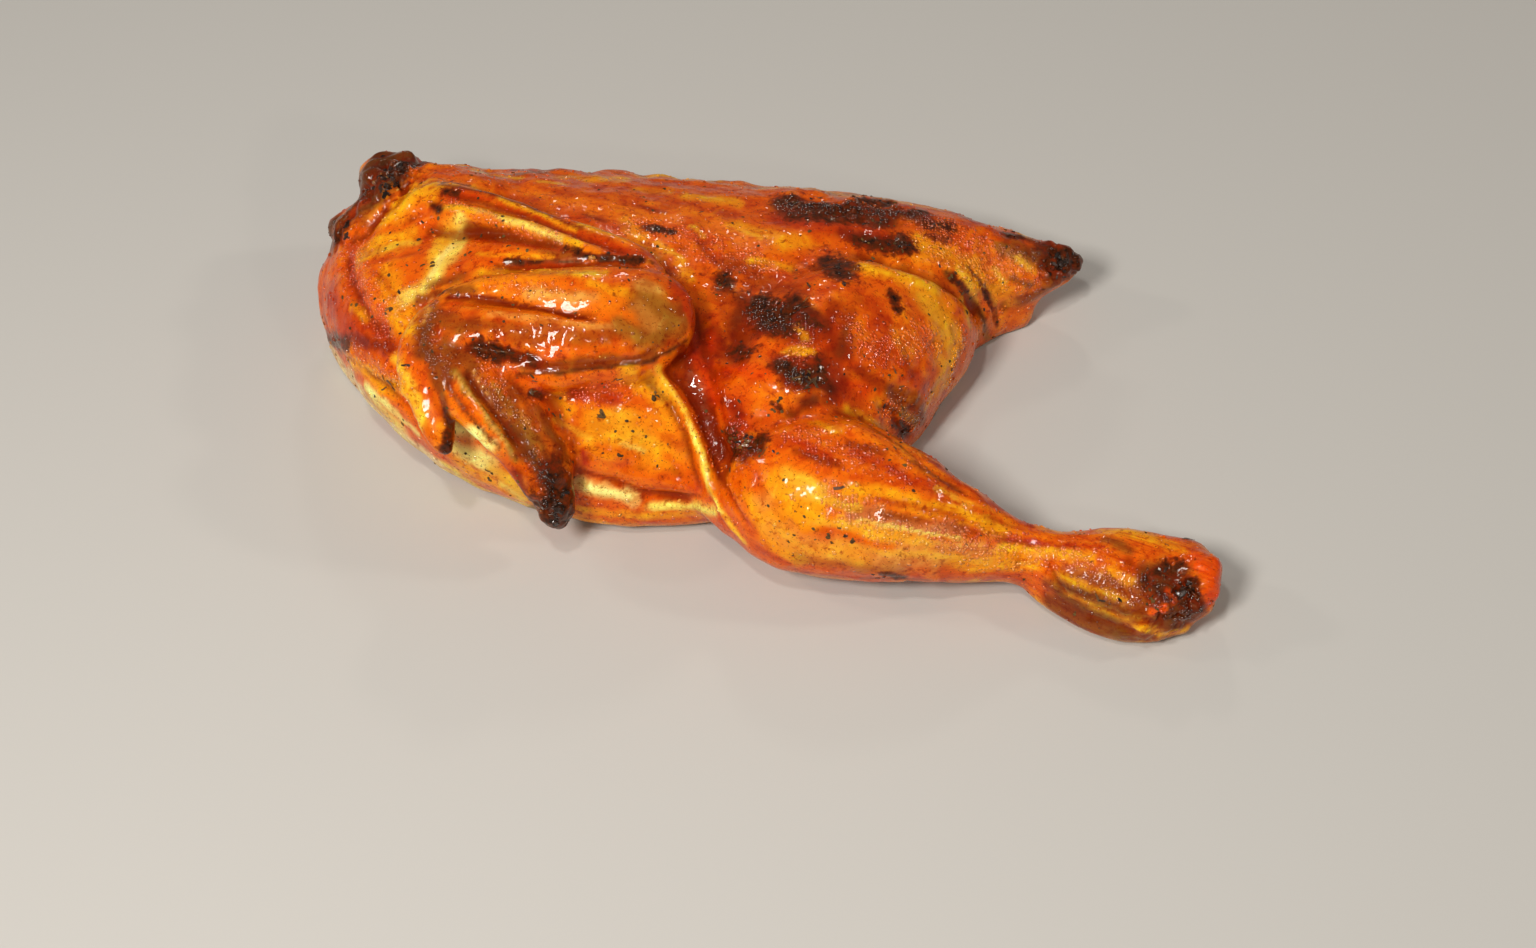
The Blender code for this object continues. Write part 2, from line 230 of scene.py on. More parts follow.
# %% Folds
FOLDS = (
    # upper wing: the ridge of the bone between two grooves
    (-0.9, 1.2, (440, 193), (480, 199), (530, 216), (580, 238), (640, 257)),
    (0.7, 1.8, (446, 207), (500, 217), (545, 232), (600, 249)),
    (-0.5, 1.2, (470, 228), (520, 233), (570, 248)),
    (0.4, 1.2, (480, 243), (540, 250), (600, 262)),
    (-0.3, 0.8, (474, 250), (520, 257), (560, 262)),
    # forearm
    (-0.6, 1.1, (484, 265), (520, 267), (565, 266), (590, 262), (625, 261), (655, 268)),
    (0.5, 1.5, (500, 276), (560, 277), (620, 275)),
    (-0.5, 0.9, (470, 285), (530, 288), (600, 293)),
    (-1.0, 1.0, (430, 312), (449, 298), (467, 297), (516, 305), (553, 312), (590, 320)),
    (0.6, 1.3, (455, 305), (510, 315), (560, 322), (620, 326)),
    (-1.0, 1.0, (462, 346), (491, 350), (519, 353), (545, 358)),
    (-0.8, 1.0, (520, 368), (580, 366), (640, 358), (680, 338)),
    (-0.6, 0.8, (415, 300), (420, 330), (418, 356)),
    (-0.6, 0.7, (436, 322), (440, 345), (436, 365)),
    # hand: the quill that shows through the skin, and grooves beside it
    (1.1, 0.75, (452, 368), (470, 395), (492, 424), (516, 457)),
    (-0.9, 0.8, (462, 366), (484, 397), (505, 424), (524, 450)),
    (0.6, 0.6, (478, 383), (490, 400), (503, 416)),
    (-0.7, 0.9, (440, 368), (452, 388), (470, 414)),
    (-0.6, 0.8, (505, 372), (525, 398), (540, 430)),
    # shoulder
    (-0.9, 1.3, (345, 245), (353, 285), (370, 322), (398, 345)),
    (0.7, 1.8, (375, 240), (405, 236), (430, 232)),
    (-0.5, 1.0, (378, 262), (405, 255), (432, 246)),
    (0.6, 1.6, (366, 268), (390, 262), (415, 258)),
    (-0.5, 0.9, (350, 300), (368, 290), (384, 270)),
    (-1.2, 1.4, (420, 170), (398, 196), (364, 234)),
    (0.8, 1.6, (445, 178), (420, 190), (398, 212), (380, 232)),
    (-0.7, 1.0, (446, 196), (428, 212), (404, 222)),
    # the edge of the skin over the pale cut meat
    (-0.7, 0.8, (338, 350), (362, 368), (385, 384), (404, 402), (420, 420), (434, 440)),
    (0.7, 1.2, (350, 345), (378, 362), (398, 382), (412, 404)),
    (-0.7, 0.7, (573, 470), (597, 475), (622, 481), (640, 491), (674, 494), (706, 497)),
    (0.8, 1.6, (580, 484), (600, 489), (622, 494), (634, 501)),
    (0.7, 1.3, (652, 504), (682, 504), (708, 508)),
    (-0.7, 0.7, (640, 494), (646, 504), (650, 514)),
    # breast
    (-0.4, 1.2, (600, 398), (625, 405), (650, 402)),
    (0.5, 1.6, (575, 440), (605, 452), (640, 458)),
    (-0.5, 1.1, (580, 458), (610, 466), (650, 470)),
    (0.4, 1.2, (655, 440), (675, 455), (690, 478)),
    # the fold between breast and thigh
    (1.7, 1.0, (652, 368), (672, 390), (690, 418), (701, 452), (711, 486), (724, 515), (746, 545)),
    (-1.4, 1.1, (660, 364), (682, 384), (701, 412), (711, 445), (722, 480), (738, 512), (758, 540)),
    (-0.8, 1.0, (640, 376), (668, 402), (684, 432), (694, 470), (702, 496)),
    (-0.9, 1.6, (694, 300), (704, 345), (716, 395), (728, 440)),
    (0.6, 1.5, (730, 330), (722, 380), (728, 420)),
    # thigh, hip and tail
    (-1.1, 2.2, (850, 254), (900, 262), (945, 276), (975, 299), (990, 322)),
    (0.6, 2.4, (850, 268), (900, 275), (940, 290), (962, 307)),
    (-1.2, 0.9, (966, 262), (982, 285), (994, 312), (998, 330)),
    (0.7, 0.9, (960, 268), (975, 290), (985, 318)),
    (-0.7, 0.8, (956, 280), (968, 300), (978, 326), (980, 345)),
    (-1.1, 1.3, (886, 292), (893, 300), (896, 310)),
    (-0.7, 1.1, (780, 250), (815, 268), (850, 300)),
    (-0.6, 1.2, (700, 262), (722, 286), (735, 310)),
    (0.5, 1.6, (745, 262), (760, 290), (768, 330)),
    (-1.0, 1.1, (872, 402), (890, 414), (902, 430), (912, 440)),
    (-0.7, 0.9, (888, 382), (900, 400), (918, 412)),
    (0.6, 1.0, (880, 392), (896, 408), (908, 424)),
    # drumstick: tendons and stretched skin along the bone
    (-1.0, 1.3, (850, 412), (895, 440), (935, 472), (985, 505)),
    (0.7, 1.3, (838, 420), (880, 446), (925, 482), (975, 512)),
    (-0.8, 1.0, (905, 470), (940, 492), (990, 516), (1030, 530)),
    (-0.6, 1.0, (800, 508), (860, 510), (920, 520), (985, 534), (1050, 548)),
    (0.5, 1.3, (810, 522), (880, 526), (950, 538), (1020, 552)),
    (-0.6, 0.8, (985, 540), (1035, 545), (1090, 548), (1130, 548)),
    (0.5, 0.8, (1000, 532), (1050, 535), (1110, 536)),
    (-1.1, 1.0, (1046, 560), (1056, 580), (1068, 598)),
    (-0.5, 0.7, (1060, 566), (1090, 578), (1130, 590)),
    (0.5, 0.7, (1060, 578), (1090, 590), (1125, 604)),
    (-0.5, 0.7, (1068, 592), (1095, 604), (1125, 616)),
    (0.5, 0.7, (1075, 604), (1100, 614), (1130, 622)),
    (-0.6, 0.7, (1084, 612), (1108, 622), (1135, 632)),
    (-1.6, 1.2, (1140, 560), (1150, 585), (1148, 615)),
    (-2.4, 1.3, (1165, 556), (1180, 572), (1178, 600)),
    (1.6, 1.6, (1192, 562), (1208, 574), (1212, 594)),
    (-2.0, 1.1, (1188, 574), (1196, 592), (1188, 612)),
    (1.4, 1.4, (1160, 600), (1168, 618), (1160, 632)),
    (-1.4, 1.0, (1150, 622), (1172, 616), (1190, 624)),
)
print("folds:", len(FOLDS))

# %% Raise the folds
FOLD_STRENGTH = 0.6
FOLD_REACH = 3
FOLD_FADE = 0.14


def fold_relief(piece, folds):
    """The heights of all the folds, each made only on the points near it."""
    tree = surface_tree(piece)
    points, _ = read_points(piece)
    rise = np.zeros(len(points))
    for height, width, *pixels in folds:
        line = line_on_skin(tree, pixels)
        reach = FOLD_REACH * width * MM
        near = np.flatnonzero(np.all((points > line.min(0) - reach) & (points < line.max(0) + reach), axis=1))
        away, place = nearest_on_line(points[near], line)
        fade = smooth_step(0, FOLD_FADE, place) * smooth_step(0, FOLD_FADE, 1 - place)
        rise[near] += FOLD_STRENGTH * height * MM * fade * np.exp(-((away / (width * MM)) ** 2))
    return rise


fold_heights = fold_relief(skin, FOLDS)
push(skin, fold_heights)
print("folds from", round(fold_heights.min() / MM, 2), "to", round(fold_heights.max() / MM, 2), "mm")

# %% [markdown]
# ## Lumps and dents at the ends
#
# Neck, tail tip, wing tip and ankle are where skin has shrunk back from bone and burnt, so they are knobbly.
# Each row is a height, a radius and the pixel in the middle of a lump,
# or of a dent where the height is minus.

# %% Lumps and dents
LUMPS = (
    # neck
    (1.8, 3.0, (374, 174)), (2.2, 2.8, (405, 159)), (-2.0, 2.4, (391, 166)), (1.6, 2.4, (384, 191)),
    (-1.8, 2.4, (400, 184)), (-1.6, 2.2, (366, 190)), (1.4, 2.4, (340, 228)), (-1.2, 2.0, (352, 214)),
    # tail tip
    (-2.6, 4.2, (1079, 283)), (-1.2, 2.6, (1072, 246)), (1.5, 2.2, (1062, 250)), (1.4, 2.0, (1050, 245)),
    (-1.4, 2.0, (1056, 256)), (1.3, 2.0, (1066, 268)), (-1.2, 1.8, (1052, 270)), (1.0, 2.0, (1040, 256)),
    # wing tip
    (1.2, 2.0, (543, 494)), (-1.4, 1.9, (557, 488)), (1.2, 1.9, (561, 513)), (-1.8, 2.4, (573, 529)),
    (-1.2, 1.8, (545, 512)),
    # ankle
    (2.4, 3.6, (1211, 566)), (-2.6, 3.2, (1188, 591)), (-2.0, 2.6, (1166, 574)), (1.4, 2.8, (1165, 600)),
    (1.4, 2.8, (1145, 630)), (1.3, 2.4, (1186, 631)), (-1.6, 2.4, (1164, 618)), (-1.4, 2.4, (1203, 611)),
    (1.2, 2.4, (1146, 574)), (-1.0, 2.4, (1130, 560)), (-1.6, 3.0, (1226, 596)),
)


def lump_relief(piece, lumps):
    """The heights of all the lumps, each a round dome or a dent."""
    tree = surface_tree(piece)
    points, _ = read_points(piece)
    rise = np.zeros(len(points))
    for height, radius, pixel in lumps:
        away = np.linalg.norm(points - at_pixel(tree, *pixel), axis=1)
        rise += height * MM * np.exp(-((away / (radius * MM)) ** 2))
    return rise


push(skin, lump_relief(skin, LUMPS))
print("lumps and dents:", len(LUMPS))

# %% [markdown]
# ## Pin-feather bumps
#
# The forearm shows a row of rounded bumps where the big feathers sat. They are worked out
# from the two ends of the row and the number of feathers, and each is a small dome.

# %% Pin-feather bumps
FEATHER_ROWS = (
    # height, radius in mm, number, first pixel, last pixel
    (0.45, 1.6, 9, (492, 328), (622, 346)),
    (0.25, 1.2, 9, (500, 344), (618, 358)),
    (0.3, 1.1, 6, (505, 286), (600, 296)),
)


def bump_row(height, radius, number, first, last):
    """One lump for each feather, evenly spaced between two pixels."""
    steps = np.linspace(0, 1, number)[:, None]
    return [(height, radius, pixel) for pixel in np.array(first) + steps * (np.array(last) - np.array(first))]


push(skin, sum(lump_relief(skin, bump_row(*row)) for row in FEATHER_ROWS))
print("pin-feather bumps:", sum(row[2] for row in FEATHER_ROWS))

# %% [markdown]
# ## Tones of the skin
#
# Grilled skin is not one colour. Thin skin over fat is cream or straw, browned skin is gold and amber,
# the dried marinade is orange to deep red, and burnt spots are brown to black.
# These are the paints that the next steps use, mixed against the photo, in linear light.

# %% The paints
TONES = {
    "orange": (0.80, 0.120, 0.0022), "amber": (0.882, 0.191, 0.00348), "gold": (0.95, 0.348, 0.0058),
    "straw": (0.95, 0.465, 0.025), "cream": (0.98, 0.70, 0.11), "pale": (0.98, 0.76, 0.21),
    "meat": (0.95, 0.70, 0.34), "tan": (0.812, 0.313, 0.0522), "pink": (0.65, 0.18, 0.0464),
    "vermilion": (0.95, 0.0986, 0.00232), "bright red": (0.766, 0.058, 0.00116),
    "red": (0.534, 0.0348, 0.00116), "deep red": (0.22, 0.0116, 0.00116), "olive": (0.348, 0.133, 0.0116),
    "brown": (0.29, 0.0557, 0.00464), "umber": (0.133, 0.0278, 0.00464), "dark": (0.0638, 0.0128, 0.00348),
}
GROUND = "orange"
print("paints:", len(TONES))

# %% [markdown]
# ## Painting with strokes
#
# The colour is laid on in layers, as a model painter does: a ground, then broad strokes, then fine ones.
# The mesh points are bent by noise before a stroke is laid, so that its edge wanders and isn't round.
# A fine brush is bent less than a wide one, or its stroke would land beside its place.

# %% Laying the strokes
# size of the noise, how far it moves a point, and the smallest brush that is bent in full
WIDE_WARP, WIDE_SHIFT, WIDE_BRUSH = 9 * MM, 3.2 * MM, 5 * MM
FINE_WARP, FINE_SHIFT, FINE_BRUSH = 3 * MM, 1.2 * MM, 2.5 * MM
# a stroke is full up to its core, gone at its edge, and looked for as far as its reach, in radii
BRUSH_CORE, BRUSH_EDGE, BRUSH_REACH = 0.3, 1.2, 1.3
# this kind of noise starts from the clock unless it is seeded, and no two runs would be the same
WARP_SEED = 31
noise.seed_set(WARP_SEED)


def bent_points(points, size, amount, seed):
    """Points moved by smooth noise, to make the edge of a stroke wander."""
    shift = Vector((seed, 2 * seed, 3 * seed))
    return amount * np.array([noise.noise_vector(Vector(p) / size + shift) for p in points])


def lay(paint, points, line, radius, cover, tone):
    """Lays one soft stroke of a tone, or of a number, on the points near the line."""
    reach = BRUSH_REACH * radius
    near = np.flatnonzero(np.all((points > line.min(0) - reach) & (points < line.max(0) + reach), axis=1))
    if len(near):
        away, _ = nearest_on_line(points[near], line)
        weight = cover * (1 - smooth_step(BRUSH_CORE, BRUSH_EDGE, away / radius))
        paint[near] += weight[:, None] * (np.array(tone) - paint[near])


def paint_strokes(piece, paint, rows):
    """Rows are a tone or number, a radius in pixels, a cover from 0 to 1, and pixels."""
    tree = surface_tree(piece)
    points, _ = read_points(piece)
    wide = bent_points(points, WIDE_WARP, WIDE_SHIFT, 3.1)
    fine = bent_points(points, FINE_WARP, FINE_SHIFT, 5.7)
    for tone, radius, cover, *pixels in rows:
        line = line_on_skin(tree, pixels)
        size = radius * pixel_size(line[0])
        bent = points + wide * min(1, size / WIDE_BRUSH) + fine * min(1, size / FINE_BRUSH)
        lay(paint, bent, line, size, cover, TONES.get(tone, tone))
    return paint


# %% [markdown]
# ## The sides that the photo doesn't show
#
# A good part looks right from all sides, so the back and the far side of the tail get the same finish.
# They are painted first: the tones that show are drawn by a seeded rule, as soft streaks along the bird,
# on points of the skin whose normals face away from the camera. The strokes of the next step go over them.

# %% Hidden sides
HIDDEN_DABS = (
    # tone, number, radius in mm
    ("amber", 130, 8), ("gold", 150, 5), ("red", 120, 5), ("bright red", 50, 4), ("straw", 90, 2.6),
    ("deep red", 80, 3), ("brown", 50, 3.4), ("umber", 30, 2.6), ("dark", 30, 2),
)
HIDDEN_BEADS, HIDDEN_BEAD_SIZE = 40, 8 * MM
HIDDEN_SHIFT = 2.2 * MM
FACES_AWAY = 0.1
LOWEST_DAB = 1.5 * MM
SKIN_RUNS = np.array((1.0, 0.15, 0.1))

tone_paint = np.tile(TONES[GROUND], (len(skin.data.vertices), 1))
char_mask = np.zeros((len(tone_paint), 1))
bead_mask = np.zeros((len(tone_paint), 1))


def towards_camera(points, normals):
    """1 where the skin faces the camera, 0 where it is seen edge on, and minus where it faces away."""
    to_camera = np.array(CAMERA_PLACE) - points
    to_camera /= np.linalg.norm(to_camera, axis=1)[:, None]
    return (normals * to_camera).sum(axis=1)


def paint_hidden_sides(piece):
    """Soft streaks of every tone, with char and beads among them."""
    rng = np.random.default_rng(41)
    points, normals = read_points(piece)
    bent = points + bent_points(points, FINE_WARP, HIDDEN_SHIFT, 8.3)
    hidden = np.flatnonzero((towards_camera(points, normals) < FACES_AWAY) & (points[:, 2] > LOWEST_DAB))
    for tone, number, radius in HIDDEN_DABS:
        for index in rng.choice(hidden, number):
            size = radius * MM * rng.uniform(0.5, 1.2)
            streak = size * rng.uniform(0.5, 3) * (SKIN_RUNS + rng.normal(0, 0.2, 3))
            line = points[index] + np.outer((-0.5, 0.5), streak)
            lay(tone_paint, bent, line, size, rng.uniform(0.5, 0.95), TONES[tone])
            if tone == "dark":
                lay(char_mask, bent, line, 0.8 * size, 0.9, 1)
    for index in rng.choice(hidden, HIDDEN_BEADS):
        lay(bead_mask, bent, points[index][None], HIDDEN_BEAD_SIZE, 0.8, 1)


paint_hidden_sides(skin)
print("mean tone:", tone_paint.mean(axis=0).round(3))

# %% [markdown]
# ## The strokes that the photo shows
#
# A stroke is a tone, a brush radius in photo pixels, how much it covers, and the pixels it runs through.
# They are laid in the order in which they are written, one part of the bird after the other.
#
# ### The back and the tail
#
# The skin of the back lies over the most fat, so it is orange over gold. A long band of it is burnt,
# and so is the tip of the tail, where the skin is thin.

# %% Strokes on the back and the tail
STROKES = [
    # back
    ("amber", 26, 0.8, (520, 195), (600, 205), (700, 215), (760, 240)),
    ("orange", 13, 0.6, (500, 182), (600, 176), (700, 190), (780, 200)),
    ("gold", 10, 0.8, (560, 178), (625, 180)), ("gold", 12, 0.8, (690, 196), (738, 202)),
    ("gold", 9, 0.6, (640, 190), (668, 192)), ("gold", 9, 0.7, (625, 220), (640, 240)),
    ("red", 13, 0.6, (500, 192), (560, 212), (620, 226)), ("red", 11, 0.5, (690, 222), (715, 255)),
    ("red", 8, 0.5, (560, 192), (600, 200), (660, 208)),
    ("red", 8, 0.5, (650, 190), (690, 205), (740, 215)),
    ("gold", 13, 0.7, (735, 225), (770, 240), (805, 245)), ("gold", 9, 0.9, (752, 262), (790, 268)),
    ("gold", 8, 0.7, (680, 260), (690, 280)), ("straw", 5, 0.6, (655, 245), (672, 252)),
    ("deep red", 4, 0.7, (516, 206), (548, 214)), ("deep red", 3.5, 0.7, (584, 214), (606, 222)),
    ("deep red", 4, 0.7, (640, 206), (664, 212)), ("deep red", 5, 0.6, (700, 244), (716, 262)),
    ("straw", 4, 0.7, (540, 182), (566, 184)), ("straw", 4, 0.6, (604, 176), (628, 178)),
    ("straw", 3.5, 0.7, (700, 196), (722, 200)), ("straw", 4, 0.7, (744, 232), (762, 240)),
    ("straw", 3.5, 0.6, (690, 226), (704, 236)), ("straw", 3, 0.7, (672, 250), (684, 262)),
    ("red", 18, 0.9, (785, 218), (830, 232), (880, 230)), ("orange", 8, 0.6, (812, 240), (840, 248)),
    ("deep red", 16, 1.0, (785, 205), (830, 212), (880, 215), (925, 218)),
    ("umber", 20, 0.9, (788, 206), (820, 214), (860, 214), (910, 220)),
    ("dark", 12, 0.9, (790, 202), (820, 210), (860, 208), (900, 212)),
    ("deep red", 12, 0.9, (848, 236), (880, 240), (912, 247)), ("dark", 8, 0.9, (856, 239), (908, 244)),
    ("dark", 12, 0.9, (826, 264), (848, 274)), ("dark", 8, 0.9, (722, 276), (732, 290)),
    ("dark", 8, 0.9, (648, 229), (670, 233)), ("red", 9, 0.8, (900, 205), (950, 212), (1000, 232)),
    ("gold", 6, 0.6, (918, 206), (955, 213)), ("orange", 10, 0.8, (905, 224), (945, 232), (975, 242)),
    # tail
    ("gold", 18, 0.9, (925, 247), (960, 264), (990, 282)), ("amber", 17, 0.8, (985, 262), (1020, 285)),
    ("gold", 11, 0.9, (996, 288), (1012, 306)), ("red", 9, 0.8, (1005, 240), (1040, 255)),
    ("brown", 8, 0.8, (1010, 238), (1045, 262)), ("red", 8, 0.7, (1012, 310), (1035, 294), (1052, 282)),
    ("brown", 10, 0.9, (1044, 262), (1058, 280)), ("gold", 6, 0.6, (1018, 262), (1034, 272)),
    ("olive", 9, 0.7, (1000, 250), (1030, 262)), ("umber", 6, 0.8, (1006, 246), (1034, 258)),
    ("umber", 5, 0.7, (1010, 276), (1030, 284)), ("straw", 4, 0.8, (1016, 258), (1028, 268)),
    ("straw", 4, 0.7, (994, 268), (1004, 282)), ("brown", 12, 0.8, (1020, 302), (1050, 288)),
    ("umber", 20, 1.0, (1046, 254), (1062, 272)), ("dark", 19, 1.0, (1062, 254), (1080, 268)),
    ("dark", 8, 0.7, (1030, 240), (1050, 248)), ("dark", 6, 0.6, (1040, 268), (1058, 276)),
    ("olive", 6, 0.8, (948, 276), (965, 292), (978, 314), (988, 338)),
    ("dark", 3, 0.8, (945, 272), (962, 285), (975, 302), (984, 330)),
    ("dark", 2.5, 0.8, (966, 268), (984, 284), (995, 306), (998, 326)),
    ("straw", 5, 0.8, (958, 270), (970, 288), (976, 302)), ("olive", 5, 0.6, (985, 287), (994, 306)),
]
print("strokes so far:", len(STROKES))

# %% [markdown]
# ### The thigh
#
# The thigh is gold at its edge and dark red in the middle, where burnt spots leave islands of orange.
# Red glaze has run into the valley beside it, and its deep red middle is partly painted shade.

# %% Strokes on the thigh
STROKES += [
    # thigh
    ("red", 36, 0.8, (790, 320), (850, 335)), ("orange", 24, 0.8, (856, 320), (874, 366)),
    ("red", 26, 0.8, (800, 370), (850, 385)), ("orange", 13, 0.7, (762, 268), (805, 284)),
    ("gold", 11, 1.0, (860, 269), (900, 276), (938, 290)),
    ("gold", 25, 1.0, (935, 305), (950, 345), (944, 376)),
    # the straw over the gold of the thigh's right side is partly painted light, for the side that faces away
    # from the main lamp
    ("straw", 16, 0.4, (925, 300), (945, 330), (944, 365)), ("amber", 6, 0.6, (926, 318), (934, 340)),
    ("brown", 3, 0.5, (950, 326), (954, 344)), ("amber", 6, 0.6, (946, 372), (940, 384)),
    ("gold", 12, 0.6, (895, 330), (905, 350)), ("amber", 15, 0.8, (905, 312), (912, 345)),
    ("straw", 6, 0.7, (962, 300), (970, 326)), ("orange", 7, 0.5, (935, 325), (945, 360)),
    ("red", 11, 0.7, (868, 300), (888, 330), (880, 360)),
    ("deep red", 11, 0.7, (836, 300), (826, 330), (845, 352)), ("red", 10, 0.7, (900, 362), (925, 390)),
    ("deep red", 6, 0.5, (905, 352), (912, 375)), ("brown", 13, 0.9, (890, 392), (915, 402), (924, 420)),
    ("gold", 6, 0.9, (872, 396), (880, 404)), ("olive", 7, 0.8, (903, 410), (915, 424)),
    ("dark", 7, 0.8, (894, 420), (905, 437)), ("gold", 6, 0.8, (934, 388), (927, 406)),
    ("dark", 4, 0.7, (885, 405), (898, 412)), ("deep red", 13, 0.8, (742, 300), (738, 330), (745, 360)),
    ("gold", 5, 0.9, (783, 351), (814, 353)), ("gold", 5, 0.9, (796, 326), (804, 340)),
    ("amber", 15, 1.0, (766, 392), (794, 402)), ("deep red", 9, 0.7, (800, 404), (832, 398)),
    ("amber", 7, 0.7, (846, 372), (858, 388)), ("dark", 5, 0.8, (888, 292), (896, 308)),
    ("deep red", 32, 0.85, (764, 318), (800, 326)),
    ("dark", 15, 0.95, (756, 306), (780, 322), (806, 310)),
    ("deep red", 25, 0.85, (790, 372), (826, 380)),
    ("dark", 12, 0.95, (788, 368), (806, 378), (826, 384)), ("deep red", 16, 0.9, (734, 436), (756, 450)),
    ("dark", 11, 0.95, (730, 432), (742, 452), (760, 446)), ("dark", 9, 0.8, (722, 346), (738, 354)),
    ("dark", 7, 0.7, (812, 400), (790, 414)), ("gold", 4.5, 0.95, (785, 351), (812, 353)),
    ("gold", 5, 0.9, (796, 328), (806, 338)), ("gold", 6, 1.0, (742, 436), (752, 434)),
    ("straw", 3, 0.8, (747, 433)), ("deep red", 15, 0.6, (728, 262), (760, 284), (800, 292)),
    ("deep red", 13, 0.5, (722, 296), (730, 330), (728, 370)),
    ("deep red", 12, 0.6, (852, 300), (848, 345), (826, 362)),
    ("deep red", 10, 0.6, (858, 372), (884, 384)), ("umber", 8, 0.5, (742, 296), (736, 326)),
    ("umber", 7, 0.5, (814, 306), (826, 326)), ("umber", 6, 0.5, (846, 330), (838, 352)),
    ("orange", 9, 0.9, (832, 290), (850, 300)), ("orange", 8, 0.8, (758, 340), (776, 350)),
    ("amber", 6, 0.8, (862, 318), (868, 336)), ("orange", 7, 0.8, (712, 270), (724, 282)),
    ("bright red", 7, 0.7, (852, 384), (872, 396)), ("amber", 5, 0.8, (806, 298), (816, 304)),
    # valley between breast, wing and thigh: red glaze, and deep red down its middle that is partly painted
    # shade
    ("red", 28, 1.0, (690, 296), (700, 350), (720, 400), (738, 440)),
    ("bright red", 12, 0.8, (735, 366), (768, 378)),
    ("deep red", 11, 0.9, (682, 350), (690, 385), (705, 420), (722, 452)),
    ("orange", 9, 0.8, (698, 298), (703, 325)), ("bright red", 7, 0.8, (708, 375), (718, 404)),
    ("orange", 6, 0.6, (716, 406), (724, 430)), ("deep red", 8, 0.7, (722, 396), (738, 412)),
    ("deep red", 8, 0.6, (715, 330), (722, 355)),
]
print("strokes so far:", len(STROKES))
